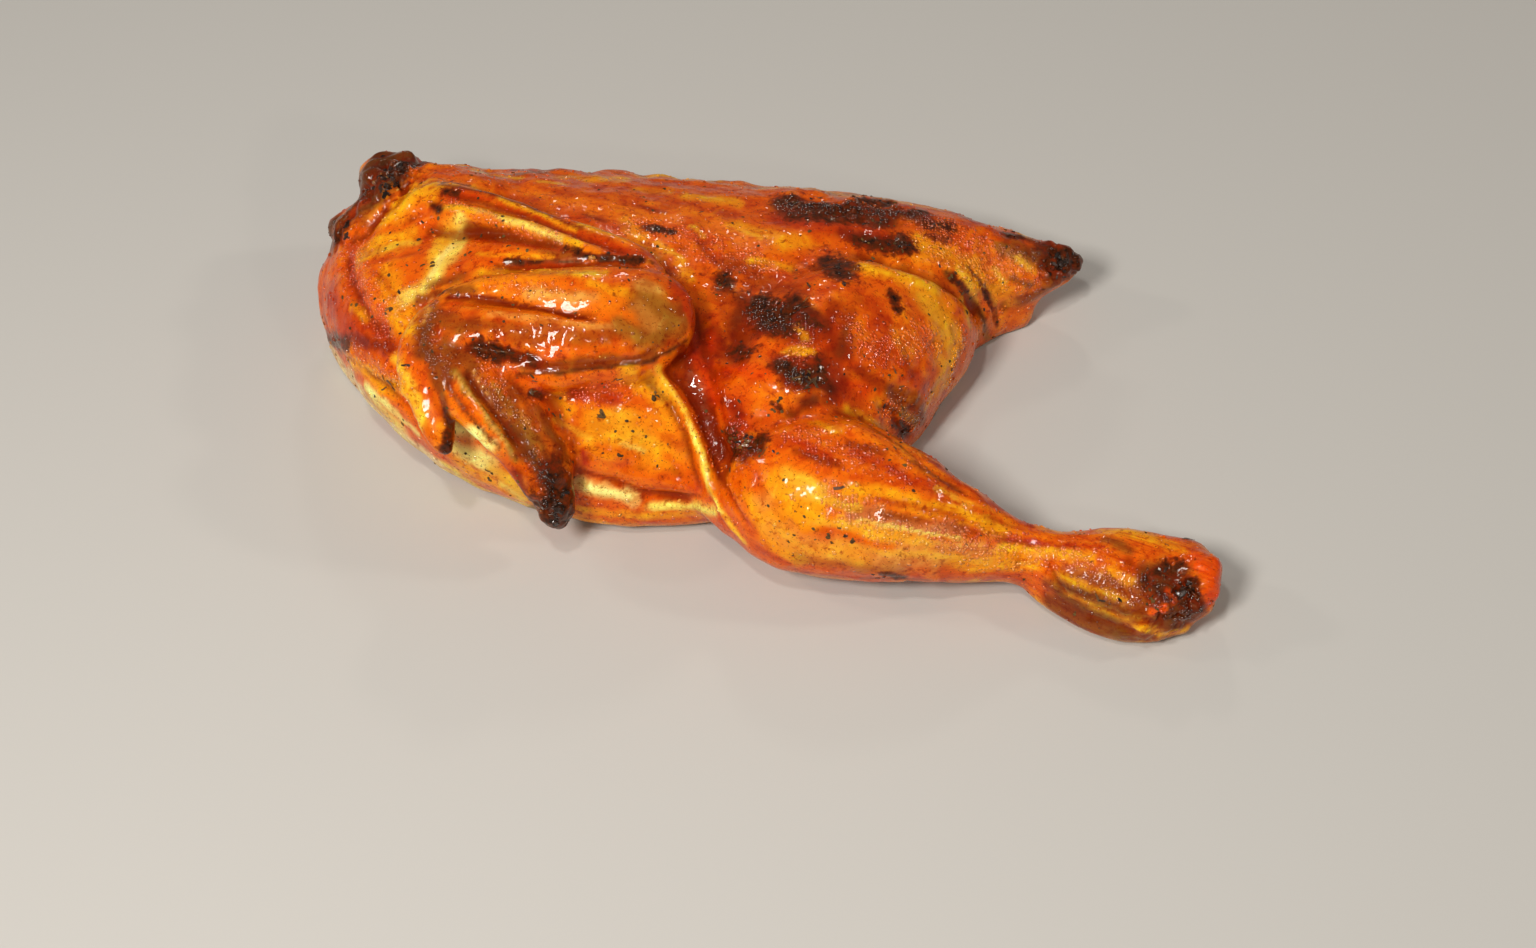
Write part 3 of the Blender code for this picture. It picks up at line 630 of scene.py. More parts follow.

# %% [markdown]
# ### The leg
#
# The drumstick is straw and tan along its middle, because stretched skin browns least there. Its straw
# and cream lines are partly painted highlight, and the tan, olive, red and brown low on it are painted shade.
# The end of the shank is dark red to black round the bright red of the joint.

# %% Strokes on the leg
STROKES += [
    # knee and drumstick: straw on the knee and the straw and cream lines along the middle are partly painted
    # highlight, and tan, olive, red and brown along the underside are painted shade
    ("orange", 32, 0.9, (805, 436), (870, 446)), ("amber", 30, 1.0, (775, 485), (830, 505), (900, 530)),
    ("gold", 24, 1.0, (782, 488), (800, 512)), ("straw", 11, 0.8, (788, 476), (818, 492)),
    ("gold", 15, 0.9, (748, 504), (765, 536), (800, 560)),
    ("orange", 10, 0.9, (730, 470), (738, 502), (755, 534)), ("amber", 13, 0.9, (825, 556), (900, 562)),
    ("red", 7, 0.7, (758, 548), (800, 572), (860, 578)), ("gold", 8, 0.9, (848, 410), (886, 430)),
    ("red", 9, 0.8, (855, 455), (900, 470), (940, 488)), ("deep red", 6, 0.7, (848, 444), (884, 454)),
    ("red", 8, 0.8, (778, 440), (832, 456)), ("deep red", 5, 0.7, (795, 452), (842, 466)),
    ("gold", 8, 0.7, (815, 424), (838, 432)),
    ("gold", 11, 0.9, (850, 490), (895, 494), (945, 512), (1000, 530)),
    ("straw", 5, 0.8, (938, 488), (972, 506)), ("pink", 11, 0.95, (855, 513), (900, 522), (962, 535)),
    ("brown", 5, 0.6, (880, 514), (918, 519)), ("straw", 6, 0.9, (806, 497), (830, 500), (858, 509)),
    ("tan", 9, 0.7, (905, 545), (1000, 552)), ("gold", 9, 0.9, (940, 562), (1035, 566)),
    ("red", 6, 0.9, (930, 462), (985, 500), (1030, 524)), ("brown", 4, 0.8, (912, 462), (960, 491)),
    ("red", 4, 0.7, (880, 500), (925, 508), (965, 520)), ("brown", 5, 0.6, (862, 578), (930, 580)),
    ("amber", 4, 0.8, (960, 498), (1010, 522)), ("tan", 18, 0.8, (790, 540), (850, 556), (940, 560)),
    ("olive", 12, 0.5, (800, 560), (900, 572)), ("straw", 8, 0.7, (820, 520), (870, 530), (930, 545)),
    ("tan", 14, 0.6, (760, 500), (775, 530)), ("straw", 5, 0.6, (850, 546), (920, 556), (990, 560)),
    ("cream", 3, 0.6, (860, 520), (910, 530), (960, 540)),
    ("gold", 16, 0.7, (770, 520), (800, 545), (860, 558)), ("straw", 5, 0.5, (776, 526), (800, 544)),
    ("straw", 4, 0.6, (1000, 548), (1060, 552)),
    # shank and ankle
    ("orange", 8, 0.9, (1015, 532), (1100, 536)),
    ("red", 3.5, 1.0, (1008, 541), (1060, 545), (1100, 546)),
    ("gold", 9, 0.9, (1000, 552), (1035, 553), (1090, 557)), ("amber", 26, 1.0, (1085, 580), (1140, 592)),
    ("brown", 28, 0.85, (1080, 590), (1130, 602), (1175, 612)),
    ("umber", 16, 0.8, (1050, 604), (1082, 622), (1112, 632), (1140, 640)),
    ("gold", 9, 0.8, (1100, 531), (1150, 536), (1180, 550)), ("orange", 9, 0.8, (1125, 542), (1165, 558)),
    ("brown", 8, 0.9, (1106, 540), (1128, 549)),
    ("brown", 11, 0.8, (1052, 588), (1080, 606), (1112, 620)),
    ("olive", 14, 0.7, (1066, 590), (1100, 606), (1136, 620)),
    ("umber", 3, 0.7, (1060, 584), (1096, 598), (1130, 612)),
    ("gold", 4, 0.6, (1056, 574), (1090, 588), (1125, 600)),
    ("gold", 3, 0.5, (1066, 592), (1098, 608), (1128, 618)), ("red", 12, 0.8, (1133, 574), (1150, 602)),
    ("gold", 8, 0.8, (1112, 570), (1130, 584)), ("umber", 26, 1.0, (1156, 582), (1186, 606)),
    ("deep red", 18, 0.9, (1162, 598), (1192, 612)),
    ("dark", 8, 0.95, (1150, 582), (1170, 572), (1194, 563)), ("dark", 8, 0.95, (1186, 584), (1192, 600)),
    ("bright red", 14, 1.0, (1200, 556), (1218, 570), (1214, 598)),
    ("brown", 9, 0.7, (1140, 592), (1150, 620)), ("deep red", 9, 0.9, (1200, 606), (1190, 620)),
    ("umber", 12, 0.6, (1062, 600), (1090, 615), (1120, 626)),
    ("umber", 24, 0.9, (1156, 574), (1180, 596), (1170, 624)),
    ("dark", 12, 0.9, (1184, 584), (1196, 600), (1188, 614)), ("dark", 9, 0.8, (1150, 584), (1168, 602)),
    ("bright red", 6, 0.8, (1190, 560), (1212, 574)),
    ("brown", 14, 0.8, (1150, 636), (1180, 636), (1204, 618)), ("dark", 6, 0.9, (1160, 566), (1176, 580)),
    ("bright red", 12, 1.0, (1206, 562), (1217, 578), (1212, 598)),
    ("vermilion", 5, 0.9, (1152, 612), (1166, 604)), ("bright red", 4, 0.9, (1166, 590), (1172, 600)),
    ("gold", 6, 0.9, (1138, 628), (1160, 635), (1185, 631)), ("brown", 7, 0.7, (1174, 622), (1200, 612)),
    ("orange", 6, 0.8, (1176, 552), (1192, 560)),
]
print("strokes so far:", len(STROKES))

# %% [markdown]
# ### The neck, the shoulder and the breast
#
# The shoulder has a cream patch that the glaze missed, with a painted highlight at its lower end,
# and the skin ends low on the breast, so a pale edge of meat shows under it. The breast itself is an even
# gold, with cream skin and a painted highlight between the thumb and the hand of the wing.

# %% Strokes on the neck, the shoulder and the breast
STROKES += [
    # neck
    ("umber", 22, 1.0, (364, 200), (362, 178), (384, 160), (408, 153)),
    ("umber", 16, 1.0, (378, 196), (398, 176), (412, 166)),
    ("umber", 12, 1.0, (350, 210), (354, 184), (368, 162), (392, 150)),
    ("umber", 12, 1.0, (326, 246), (332, 226), (346, 212)), ("dark", 9, 0.8, (372, 172), (392, 160)),
    ("dark", 10, 0.8, (404, 158), (412, 168)), ("olive", 5, 0.8, (374, 184), (384, 178)),
    ("olive", 5, 0.8, (392, 178), (402, 184)), ("umber", 17, 1.0, (336, 236), (344, 222), (366, 206)),
    ("brown", 6, 0.7, (340, 226), (356, 214)), ("red", 7, 0.6, (350, 216), (366, 204)),
    ("orange", 11, 0.9, (416, 169), (458, 172)), ("meat", 4, 0.8, (474, 171), (483, 172)),
    ("straw", 4, 0.7, (496, 175), (520, 179)),
    # shoulder
    ("orange", 34, 1.0, (350, 250), (345, 310)), ("gold", 22, 0.9, (388, 214), (412, 197), (440, 183)),
    ("orange", 8, 0.8, (376, 224), (400, 196), (430, 176)),
    ("red", 20, 0.8, (328, 300), (345, 326), (386, 343)),
    ("red", 9, 0.7, (352, 244), (354, 285), (362, 314)),
    ("deep red", 8, 0.8, (324, 332), (350, 340), (392, 347)), ("gold", 18, 0.9, (368, 250), (402, 240)),
    ("straw", 5, 0.9, (376, 252), (395, 246), (416, 243)),
    ("gold", 18, 0.9, (388, 280), (400, 305), (408, 330)),
    ("straw", 17, 0.9, (448, 236), (438, 262), (420, 288)),
    # the cream patch ends in a painted highlight at its lower end
    ("cream", 13, 0.95, (460, 228), (455, 250), (440, 268), (424, 284), (408, 294)),
    ("pale", 5, 0.8, (452, 246), (440, 262), (428, 276)),
    ("red", 6, 0.6, (372, 272), (388, 282), (392, 296)), ("orange", 6, 0.6, (408, 254), (420, 248)),
    ("amber", 7, 0.6, (360, 262), (366, 290)), ("gold", 6, 0.7, (350, 306), (366, 318)),
    # skin and pale meat under the shoulder
    ("meat", 26, 1.0, (322, 376), (348, 402), (374, 430), (402, 456), (434, 478)),
    ("gold", 22, 1.0, (424, 476), (470, 500), (520, 518), (556, 526)),
    ("gold", 14, 1.0, (578, 526), (640, 532), (705, 526)),
    ("meat", 24, 1.0, (320, 366), (334, 388), (360, 416), (390, 446), (424, 470)),
    ("cream", 13, 0.9, (446, 472), (486, 494), (534, 510)),
    ("gold", 13, 1.0, (342, 350), (372, 372), (402, 394)),
    ("straw", 8, 0.9, (396, 360), (410, 388), (420, 424)), ("amber", 6, 0.6, (358, 352), (380, 366)),
    ("meat", 12, 1.0, (340, 372), (360, 394), (384, 418), (410, 442), (438, 462)),
    ("pale", 14, 1.0, (376, 418), (410, 450), (440, 472), (470, 488)),
    ("cream", 12, 1.0, (446, 466), (484, 490), (534, 510)),
    ("pink", 2.5, 0.4, (348, 378), (380, 412), (400, 430)),
    ("tan", 4, 0.7, (366, 414), (398, 446), (430, 470)),
    ("pale", 8, 1.0, (376, 405), (387, 414), (398, 424)),
    ("pale", 14, 0.9, (374, 403), (386, 412), (396, 422)), ("straw", 18, 0.6, (376, 405), (390, 416)),
    ("pale", 6, 0.9, (366, 390), (378, 402)), ("pale", 6, 0.9, (366, 386), (392, 408), (418, 434)),
    # breast
    ("gold", 36, 1.0, (600, 430), (660, 440)), ("gold", 24, 1.0, (468, 470), (520, 490)),
    ("straw", 20, 0.35, (600, 425), (650, 440)), ("orange", 15, 0.9, (560, 388), (600, 396), (642, 402)),
    ("red", 8, 0.8, (572, 392), (616, 398)), ("red", 6, 0.7, (602, 384), (614, 404)),
    ("gold", 14, 1.0, (625, 373), (650, 382), (665, 402)), ("straw", 6, 0.7, (648, 372), (662, 398)),
    ("straw", 5, 0.8, (556, 420), (588, 440)), ("orange", 9, 0.7, (600, 448), (638, 458)),
    ("red", 5, 1.0, (581, 452), (588, 464)), ("amber", 12, 0.7, (642, 420), (682, 440)),
    ("orange", 7, 0.7, (668, 456), (692, 478)), ("gold", 9, 0.8, (556, 396), (566, 410)),
    ("cream", 3, 0.7, (622, 444), (645, 452)), ("gold", 8, 0.8, (580, 512), (640, 517), (705, 514)),
    ("amber", 3, 0.8, (580, 524), (640, 528), (705, 522)),
    ("pale", 11, 1.0, (580, 484), (600, 489), (622, 494), (634, 501)),
    ("cream", 8, 1.0, (652, 505), (682, 505), (712, 510)),
    ("orange", 2.5, 0.8, (572, 468), (600, 473), (630, 478), (646, 495), (680, 494), (705, 498)),
    # cream skin between thumb and hand, and below it a painted highlight
    ("pale", 13, 1.0, (462, 426), (484, 444)), ("pale", 16, 1.0, (464, 452), (494, 470)),
    ("straw", 10, 0.9, (496, 470), (526, 497)), ("cream", 6, 0.7, (500, 484), (524, 500)),
    ("amber", 4, 0.6, (478, 496), (510, 510), (545, 520)),
    # fold between breast and thigh: its straw and cream line is pale ridge with a painted highlight,
    # and the deep red line is glaze and painted shade in the groove beside it
    ("orange", 8, 0.8, (716, 462), (728, 500), (746, 532)),
    ("straw", 5, 0.9, (657, 367), (685, 411), (702, 456), (708, 488), (722, 513), (743, 541)),
    ("cream", 2.5, 0.9, (688, 422), (704, 462), (708, 490), (722, 515)),
    ("deep red", 3, 0.8, (668, 366), (694, 404), (712, 450), (720, 480)),
]
print("strokes so far:", len(STROKES))

# %% [markdown]
# ### The wing
#
# The wing has browned in bands: gold on the bones, brown between them, olive at the elbow,
# and black at the tip. Its folds hold thin dark lines, and a dark line along the lower edge of the forearm
# is a painted shadow.

# %% Strokes on the wing
STROKES += [
    # upper wing
    ("red", 10, 0.9, (445, 191), (500, 202), (560, 227), (622, 250)),
    ("deep red", 4, 0.9, (440, 184), (480, 191), (530, 207), (580, 228)),
    ("gold", 7, 1.0, (446, 206), (490, 210), (530, 224), (578, 244)),
    ("tan", 5, 0.8, (480, 210), (520, 222), (560, 236)),
    ("cream", 3, 0.6, (500, 216), (530, 226), (560, 240)),
    ("gold", 4, 0.8, (500, 199), (540, 214), (575, 231)),
    ("brown", 12, 0.9, (468, 230), (520, 240), (572, 254)), ("red", 6, 0.7, (480, 240), (560, 250)),
    ("gold", 3.5, 0.8, (478, 253), (520, 256), (552, 258)), ("dark", 6, 1.0, (434, 204), (439, 210)),
    ("red", 9, 0.9, (608, 250), (652, 256)),
    # forearm
    ("amber", 23, 1.0, (450, 290), (520, 292), (600, 302), (650, 304)),
    ("gold", 8, 1.0, (478, 272), (530, 272), (602, 274)), ("straw", 3.5, 0.8, (538, 270), (592, 274)),
    # the tan stroke on the forearm is a painted highlight
    ("tan", 8, 0.9, (530, 292), (592, 297)), ("gold", 8, 0.9, (592, 284), (628, 292)),
    ("brown", 9, 0.8, (428, 284), (462, 276)), ("brown", 7, 0.9, (418, 302), (440, 293), (472, 290)),
    ("orange", 6, 0.9, (455, 303), (500, 308), (545, 317)), ("brown", 11, 0.8, (440, 316), (474, 330)),
    ("brown", 14, 0.65, (470, 325), (560, 338), (650, 332)),
    ("tan", 5, 0.5, (490, 312), (560, 322), (620, 328)),
    ("orange", 7, 0.8, (528, 352), (600, 357), (652, 349)), ("brown", 22, 0.45, (646, 296), (664, 326)),
    ("olive", 20, 0.7, (646, 300), (664, 320)), ("olive", 15, 0.75, (626, 330), (655, 342)),
    ("brown", 18, 0.6, (640, 300), (668, 322)), ("olive", 24, 0.6, (652, 298), (666, 322)),
    ("tan", 12, 0.4, (640, 306), (652, 320)), ("tan", 8, 0.5, (636, 284), (660, 290)),
    ("brown", 6, 0.8, (681, 300), (684, 330), (668, 352)),
    ("brown", 8, 0.9, (520, 366), (590, 364), (652, 356)),
    ("deep red", 3.5, 1.0, (445, 298), (480, 297), (520, 305), (560, 313), (592, 321)),
    ("dark", 3.5, 1.0, (505, 262), (545, 262), (580, 263)),
    ("dark", 4, 1.0, (578, 253), (610, 258), (652, 263)), ("deep red", 10, 0.8, (472, 350), (540, 362)),
    ("dark", 8, 0.9, (478, 352), (505, 354), (530, 358)),
    # a painted shadow under the lower edge of the forearm
    ("dark", 3, 0.8, (515, 375), (580, 370), (650, 361), (686, 341)),
    # wrist and hand
    ("brown", 18, 1.0, (425, 316), (430, 350), (442, 374)), ("brown", 15, 1.0, (446, 340), (462, 362)),
    ("umber", 10, 0.5, (422, 330), (430, 360)), ("tan", 4, 0.6, (432, 300), (422, 322)),
    ("brown", 17, 1.0, (472, 377), (502, 407), (526, 442), (546, 476)),
    ("orange", 10, 0.8, (488, 375), (512, 402), (524, 428)), ("gold", 5, 0.8, (494, 384), (510, 402)),
    ("tan", 6, 0.6, (524, 440), (540, 456)), ("brown", 9, 1.0, (436, 376), (445, 402), (450, 426)),
    ("olive", 5, 1.0, (453, 372), (478, 402), (500, 435), (515, 459)),
    ("tan", 2, 0.7, (453, 374), (477, 402), (499, 434), (513, 456)),
    ("tan", 1.6, 0.6, (474, 372), (487, 394)), ("dark", 6, 0.9, (446, 410), (449, 430), (447, 450)),
    ("deep red", 6, 0.8, (517, 474), (528, 496)), ("umber", 16, 0.8, (512, 432), (534, 458), (548, 480)),
    ("brown", 12, 0.7, (500, 385), (522, 415), (535, 440)),
    ("umber", 4, 0.8, (466, 374), (488, 404), (508, 436)),
    ("umber", 3, 0.8, (448, 384), (470, 418), (498, 448)),
    ("umber", 13, 0.8, (546, 424), (560, 450), (566, 478)), ("brown", 11, 0.8, (516, 392), (546, 420)),
    ("dark", 12, 0.9, (548, 484), (556, 508), (560, 520)),
    ("olive", 7, 0.5, (500, 392), (524, 424), (540, 450)), ("orange", 4, 0.6, (496, 380), (506, 392)),
    ("tan", 3, 0.6, (520, 412), (530, 426)), ("orange", 4, 0.5, (536, 446), (542, 458)),
    ("dark", 19, 1.0, (550, 474), (557, 500), (560, 534)), ("dark", 8, 0.8, (532, 500), (540, 520)),
]
print("strokes so far:", len(STROKES))

# %% Paint the strokes
paint_strokes(skin, tone_paint, STROKES)
print("mean tone:", tone_paint.mean(axis=0).round(3))

# %% [markdown]
# ## Char, beads and calm places
#
# Four masks are painted in the same way, with a number instead of a tone, because they say how the skin
# behaves and not which colour it has: where it is burnt, where the glaze stands in small beads that sparkle,
# where the colour lies calm, and where the glaze is missing, so that it can't darken the grooves.
# A row is a brush radius in photo pixels, how much it covers, and the pixels it runs through.

# %% Where the skin is burnt
CHAR_SPOTS = (
    # neck and shoulder
    (11, 0.9, (376, 188), (394, 172), (410, 165)), (6, 0.9, (370, 206)), (5, 0.8, (336, 238), (346, 228)),
    (6, 1.0, (437, 207)), (3, 0.8, (446, 190), (456, 193)), (5, 0.9, (328, 340), (348, 345)),
    # wing
    (6, 1.0, (478, 353), (492, 356)), (5, 1.0, (502, 352), (512, 358)), (4, 0.7, (522, 356), (532, 360)),
    (2.5, 1.0, (577, 254), (600, 258)), (3, 1.0, (608, 256), (640, 262)), (3, 0.9, (500, 237)),
    (2.5, 0.9, (506, 262), (520, 262)), (3, 0.9, (614, 286)), (2.5, 0.7, (566, 248), (580, 250)),
    (4, 1.0, (448, 436), (447, 450)), (12, 1.0, (553, 480), (558, 512)),
    (10, 1.0, (552, 520), (560, 528)), (14, 1.0, (556, 488), (562, 526)),
    (3, 0.9, (540, 397), (532, 392)), (3, 0.8, (516, 394)),
    # back
    (5, 1.0, (652, 230), (668, 232)), (6, 1.0, (725, 277), (728, 286)), (7, 0.9, (784, 201), (815, 205)),
    (7, 0.8, (825, 209), (848, 212)), (7, 1.0, (862, 201), (886, 203)), (4, 0.8, (900, 212), (925, 214)),
    (5, 0.8, (858, 240), (885, 243)), (7, 1.0, (898, 242), (904, 246)), (3, 0.8, (768, 200)),
    (9, 0.7, (800, 214), (840, 218), (880, 218)), (5, 0.8, (926, 224), (950, 228)),
    (3, 0.7, (930, 236), (950, 240)), (3, 0.6, (612, 196)),
    # thigh
    (9, 1.0, (830, 262), (845, 274)), (9, 1.0, (760, 304), (778, 318), (796, 306)),
    (6, 0.9, (770, 326), (784, 332)), (5, 0.7, (800, 324), (818, 322)), (6, 0.7, (736, 347), (748, 352)),
    (4, 0.6, (834, 338)), (8, 1.0, (788, 366), (804, 374)), (6, 0.9, (816, 380), (822, 368)),
    (4, 0.7, (800, 390)), (8, 1.0, (732, 436), (740, 450)), (6, 0.9, (752, 446), (762, 438)),
    (4, 0.8, (738, 422)), (3.5, 1.0, (891, 296), (896, 310)), (3, 0.9, (837, 316)),
    (5, 0.9, (897, 424), (903, 434)), (4, 0.7, (884, 408)), (2, 0.9, (952, 278), (966, 292)),
    (2, 0.9, (984, 290), (992, 310)), (3, 0.7, (880, 400)), (3, 0.6, (812, 404)),
    (3, 0.7, (778, 412), (772, 406)),
    # drumstick and ankle
    (2.5, 0.9, (770, 493)), (3, 0.9, (783, 486)), (3.5, 0.8, (829, 540)), (3, 0.8, (875, 547)),
    (5, 0.9, (872, 579)), (4, 0.8, (884, 572), (900, 578)), (3.5, 0.9, (1012, 543)),
    (2.5, 0.7, (948, 556)), (6, 1.0, (1188, 584), (1193, 594)), (4, 0.9, (1168, 568), (1180, 564)),
    (4, 0.8, (1176, 590), (1180, 602)), (3, 0.8, (1147, 576), (1158, 570)), (3, 0.6, (1196, 608)),
    (3, 0.7, (1136, 606)),
    # tail
    (10, 1.0, (1054, 258), (1070, 264)), (8, 1.0, (1074, 260)), (8, 1.0, (1062, 275)),
    (4, 0.8, (1008, 234), (1020, 236)), (4, 0.7, (1038, 249)),
)
print("burnt spots:", len(CHAR_SPOTS))

# %% Where the glaze is beaded, calm or missing
BEADS = (
    (24, 1.0, (930, 245), (985, 265), (1030, 275)), (16, 0.9, (790, 205), (900, 212), (980, 240)),
    (20, 0.9, (760, 310), (800, 330), (800, 380)), (14, 1.0, (735, 430), (750, 455)),
    (20, 0.8, (800, 440), (850, 455), (900, 470)),
    (22, 1.0, (830, 500), (900, 530), (1000, 550), (1090, 560)), (26, 0.9, (1100, 580), (1180, 600)),
    (18, 0.9, (425, 320), (440, 360)), (15, 1.0, (480, 360), (520, 420)),
    (14, 1.0, (535, 460), (555, 510)), (20, 1.0, (390, 305), (420, 285)),
    (24, 1.0, (350, 255), (366, 290), (384, 325)), (16, 0.7, (570, 395), (630, 395)),
    (16, 0.8, (375, 190), (400, 170)), (24, 1.0, (640, 228), (700, 245), (760, 268)),
    (22, 0.9, (850, 320), (880, 350), (930, 340)), (16, 1.0, (950, 380), (960, 340)),
    (16, 0.9, (895, 405), (915, 425)), (14, 0.6, (355, 350), (400, 385)),
    (9, 0.8, (490, 285), (560, 290)), (14, 0.6, (700, 420), (720, 470)),
    (10, 0.7, (450, 200), (560, 240)),
)
CALM = (
    (26, 0.9, (470, 285), (560, 300), (650, 310)), (12, 0.8, (460, 205), (520, 220), (580, 245)),
    (40, 0.7, (620, 440), (680, 460)), (24, 0.8, (460, 440), (520, 490)),
    (20, 0.8, (350, 370), (420, 430)), (34, 0.9, (790, 500), (880, 530), (1000, 550)),
    (16, 0.8, (920, 270), (950, 330), (945, 370)), (20, 0.9, (400, 260), (420, 290)),
    (18, 1.0, (456, 238), (438, 268), (416, 290)), (16, 1.0, (1205, 565), (1214, 590)),
    (8, 0.9, (657, 370), (700, 450), (745, 540)),
)
UNGLAZED = (
    (34, 1.0, (334, 376), (362, 404), (396, 438), (436, 468)), (16, 1.0, (376, 405), (396, 422)),
    (16, 1.0, (470, 482), (540, 508)), (12, 0.9, (584, 506), (640, 514), (704, 514)),
)
print("rows of beads, calm and bare skin:", len(BEADS), len(CALM), len(UNGLAZED))

# %% Paint the masks
CHAR_HALOS = (
    # how burnt, times the radius, times the cover
    (0.25, 3, 0.9), (0.55, 1.7, 1),
)
DABS_PER_STRETCH = 5
DAB_DRIFT = 0.6
DAB_SIZE, DAB_COVER = (0.35, 0.8), (0.6, 1)


def broken_up(rows, seed):
    """Two wide, weak strokes under each row, and small dabs strewn along it, so that char is ragged."""
    rng = np.random.default_rng(seed)
    pieces = []
    for burnt, wider, weaker in CHAR_HALOS:
        pieces += [(burnt, wider * radius, weaker * cover, *pixels) for radius, cover, *pixels in rows]
    for radius, cover, *pixels in rows:
        for (u0, v0), (u1, v1) in zip(pixels, pixels[1:] + pixels[-1:]):
            for _ in range(DABS_PER_STRETCH):
                t, drift = rng.uniform(), rng.normal(0, DAB_DRIFT * radius, 2)
                place = (u0 + t * (u1 - u0) + drift[0], v0 + t * (v1 - v0) + drift[1])
                pieces.append((1, radius * rng.uniform(*DAB_SIZE), cover * rng.uniform(*DAB_COVER), place))
    return pieces


def full_rows(rows):
    """Rows that paint the number 1."""
    return [(1, *row) for row in rows]


char_mask = paint_strokes(skin, char_mask, broken_up(CHAR_SPOTS, 17))[:, 0]
bead_mask = paint_strokes(skin, bead_mask, full_rows(BEADS))[:, 0]
calm_mask = paint_strokes(skin, np.zeros((len(tone_paint), 1)), full_rows(CALM))[:, 0]
unglazed_mask = paint_strokes(skin, np.zeros((len(tone_paint), 1)), full_rows(UNGLAZED))[:, 0]
print("charred share:", char_mask.mean().round(3), "beaded share:", bead_mask.mean().round(3))

# %% [markdown]
# ## Blisters, char and wrinkles in the surface
#
# Where skin burns it blisters and cracks, so the char mask also raises a crust of sharp little crags.
# The neck stub and the tail tip are the roughest. The rest of the skin is slightly uneven,
# with goose bumps, and its back edge is lumpy and wrinkled where fat has rendered out.

# %% Where the skin is roughest
ROUGH_PLACES = (
    # pixel, radius in mm, height in mm
    ((392, 180), 15, 3.4), ((345, 228), 10, 1.2), ((1064, 264), 10, 2.6), ((1186, 590), 13, 2.0),
    ((1150, 622), 12, 1.6), ((744, 446), 9, 1.1), ((800, 376), 9, 1.0), ((784, 314), 9, 1.0),
    ((552, 506), 10, 1.6), ((985, 250), 16, 0.6), ((870, 210), 14, 1.2), ((820, 208), 12, 1.0),
    ((910, 415), 10, 1.3), ((1020, 270), 14, 0.7),
)
print("rough places:", len(ROUGH_PLACES))

# %% Fine relief
CRUST_HEIGHT, CRUST_SINK = 1.1 * MM, 0.25
ROUGH_SINK, ROUGH_CORE = 0.2, 0.3
LUMP_HEIGHT = 0.40
# the height on calm skin, and how much is added where it is beaded
UNEVEN_HEIGHT, GOOSE_HEIGHT = (0.10, 0.30), (0.04, 0.18)
# where the back edge begins and is full, across the bird and in height
BACK_EDGE, BACK_RISE = (52 * MM, 66 * MM), (8 * MM, 20 * MM)
FAT_LUMP_HEIGHT, WRINKLE_HEIGHT = 0.7 * MM, 1.1 * MM
FLAT_BOTTOM = (0.5 * MM, 4 * MM)


def crags(points):
    """Sharp little ridges, as burnt skin has: the fold lines of two noises."""
    return 0.9 * np.abs(ripple(points, 4 * MM, 20)) + 0.7 * np.abs(ripple(points, 2.4 * MM, 21))


def back_edge_relief(points):
    """Lumps and long wrinkles along the backbone."""
    lumps = smooth_step(*BACK_RISE, points[:, 2]) * FAT_LUMP_HEIGHT * ripple(points, 5 * MM, 26)
    wrinkles = np.abs(ripple(points * (0.3, 1, 1), 6 * MM, 27))
    wrinkles = WRINKLE_HEIGHT * (0.25 - np.clip(wrinkles, 0, 0.5))
    return smooth_step(*BACK_EDGE, points[:, 1]) * (lumps + wrinkles)


def fine_relief(piece):
    """Crust, uneven skin, goose bumps and the back edge, which all fade to nothing at the flat bottom."""
    tree = surface_tree(piece)
    points, _ = read_points(piece)
    crust = crags(points)
    rise = CRUST_HEIGHT * char_mask * (crust - CRUST_SINK)
    for pixel, radius, height in ROUGH_PLACES:
        away = np.linalg.norm(points - at_pixel(tree, *pixel), axis=1)
        shown = 1 - smooth_step(ROUGH_CORE * radius * MM, radius * MM, away)
        rise += height * MM * (crust - ROUGH_SINK) * shown
    uneven = LUMP_HEIGHT * ripple(points, 9 * MM, 23)
    for size, seed, (calm, beaded) in ((3.6, 24, UNEVEN_HEIGHT), (1.9, 25, GOOSE_HEIGHT)):
        uneven += (calm + beaded * bead_mask) * ripple(points, size * MM, seed)
    rise += MM * uneven + back_edge_relief(points)
    return rise * smooth_step(*FLAT_BOTTOM, points[:, 2])


push(skin, fine_relief(skin))
low_points, _ = read_points(skin)
print("lowest point mm:", round(low_points[:, 2].min() / MM, 3))

# %% [markdown]
# ## Grooves and ridges
#
# Glaze runs into the grooves and dries there dark red, and the ridges stay lighter.
# How hollow the skin is at a point can be measured: it is how far the mean of its neighbours
# stands above it. A few rounds of averaging find the narrow grooves between two folds, and many rounds
# find the wide valleys between wing, breast and thigh, which the material darkens as painted shade.

# %% How hollow the skin is
GROOVE_ROUNDS, VALLEY_ROUNDS = 5, 40


def neighbour_mean(values, edges, count):
    """The mean of each point's neighbours along the edges."""
    total = np.zeros_like(values)
    for axis in range(3):
        for one, other in ((0, 1), (1, 0)):
            total[:, axis] += np.bincount(edges[:, one], values[edges[:, other], axis], len(values))
    return total / count[:, None]


def measure_hollows(piece, rounds):
    """Minus on ridges and plus in grooves, in millimetres."""
    points, normals = read_points(piece)
    edges = np.empty(len(piece.data.edges) * 2, int)
    piece.data.edges.foreach_get("vertices", edges)
    edges = edges.reshape(-1, 2)
    count = np.maximum(np.bincount(edges.ravel(), minlength=len(points)), 1)
    smooth = points
    for _ in range(rounds):
        smooth = neighbour_mean(smooth, edges, count)
    return ((smooth - points) * normals).sum(axis=1) / MM


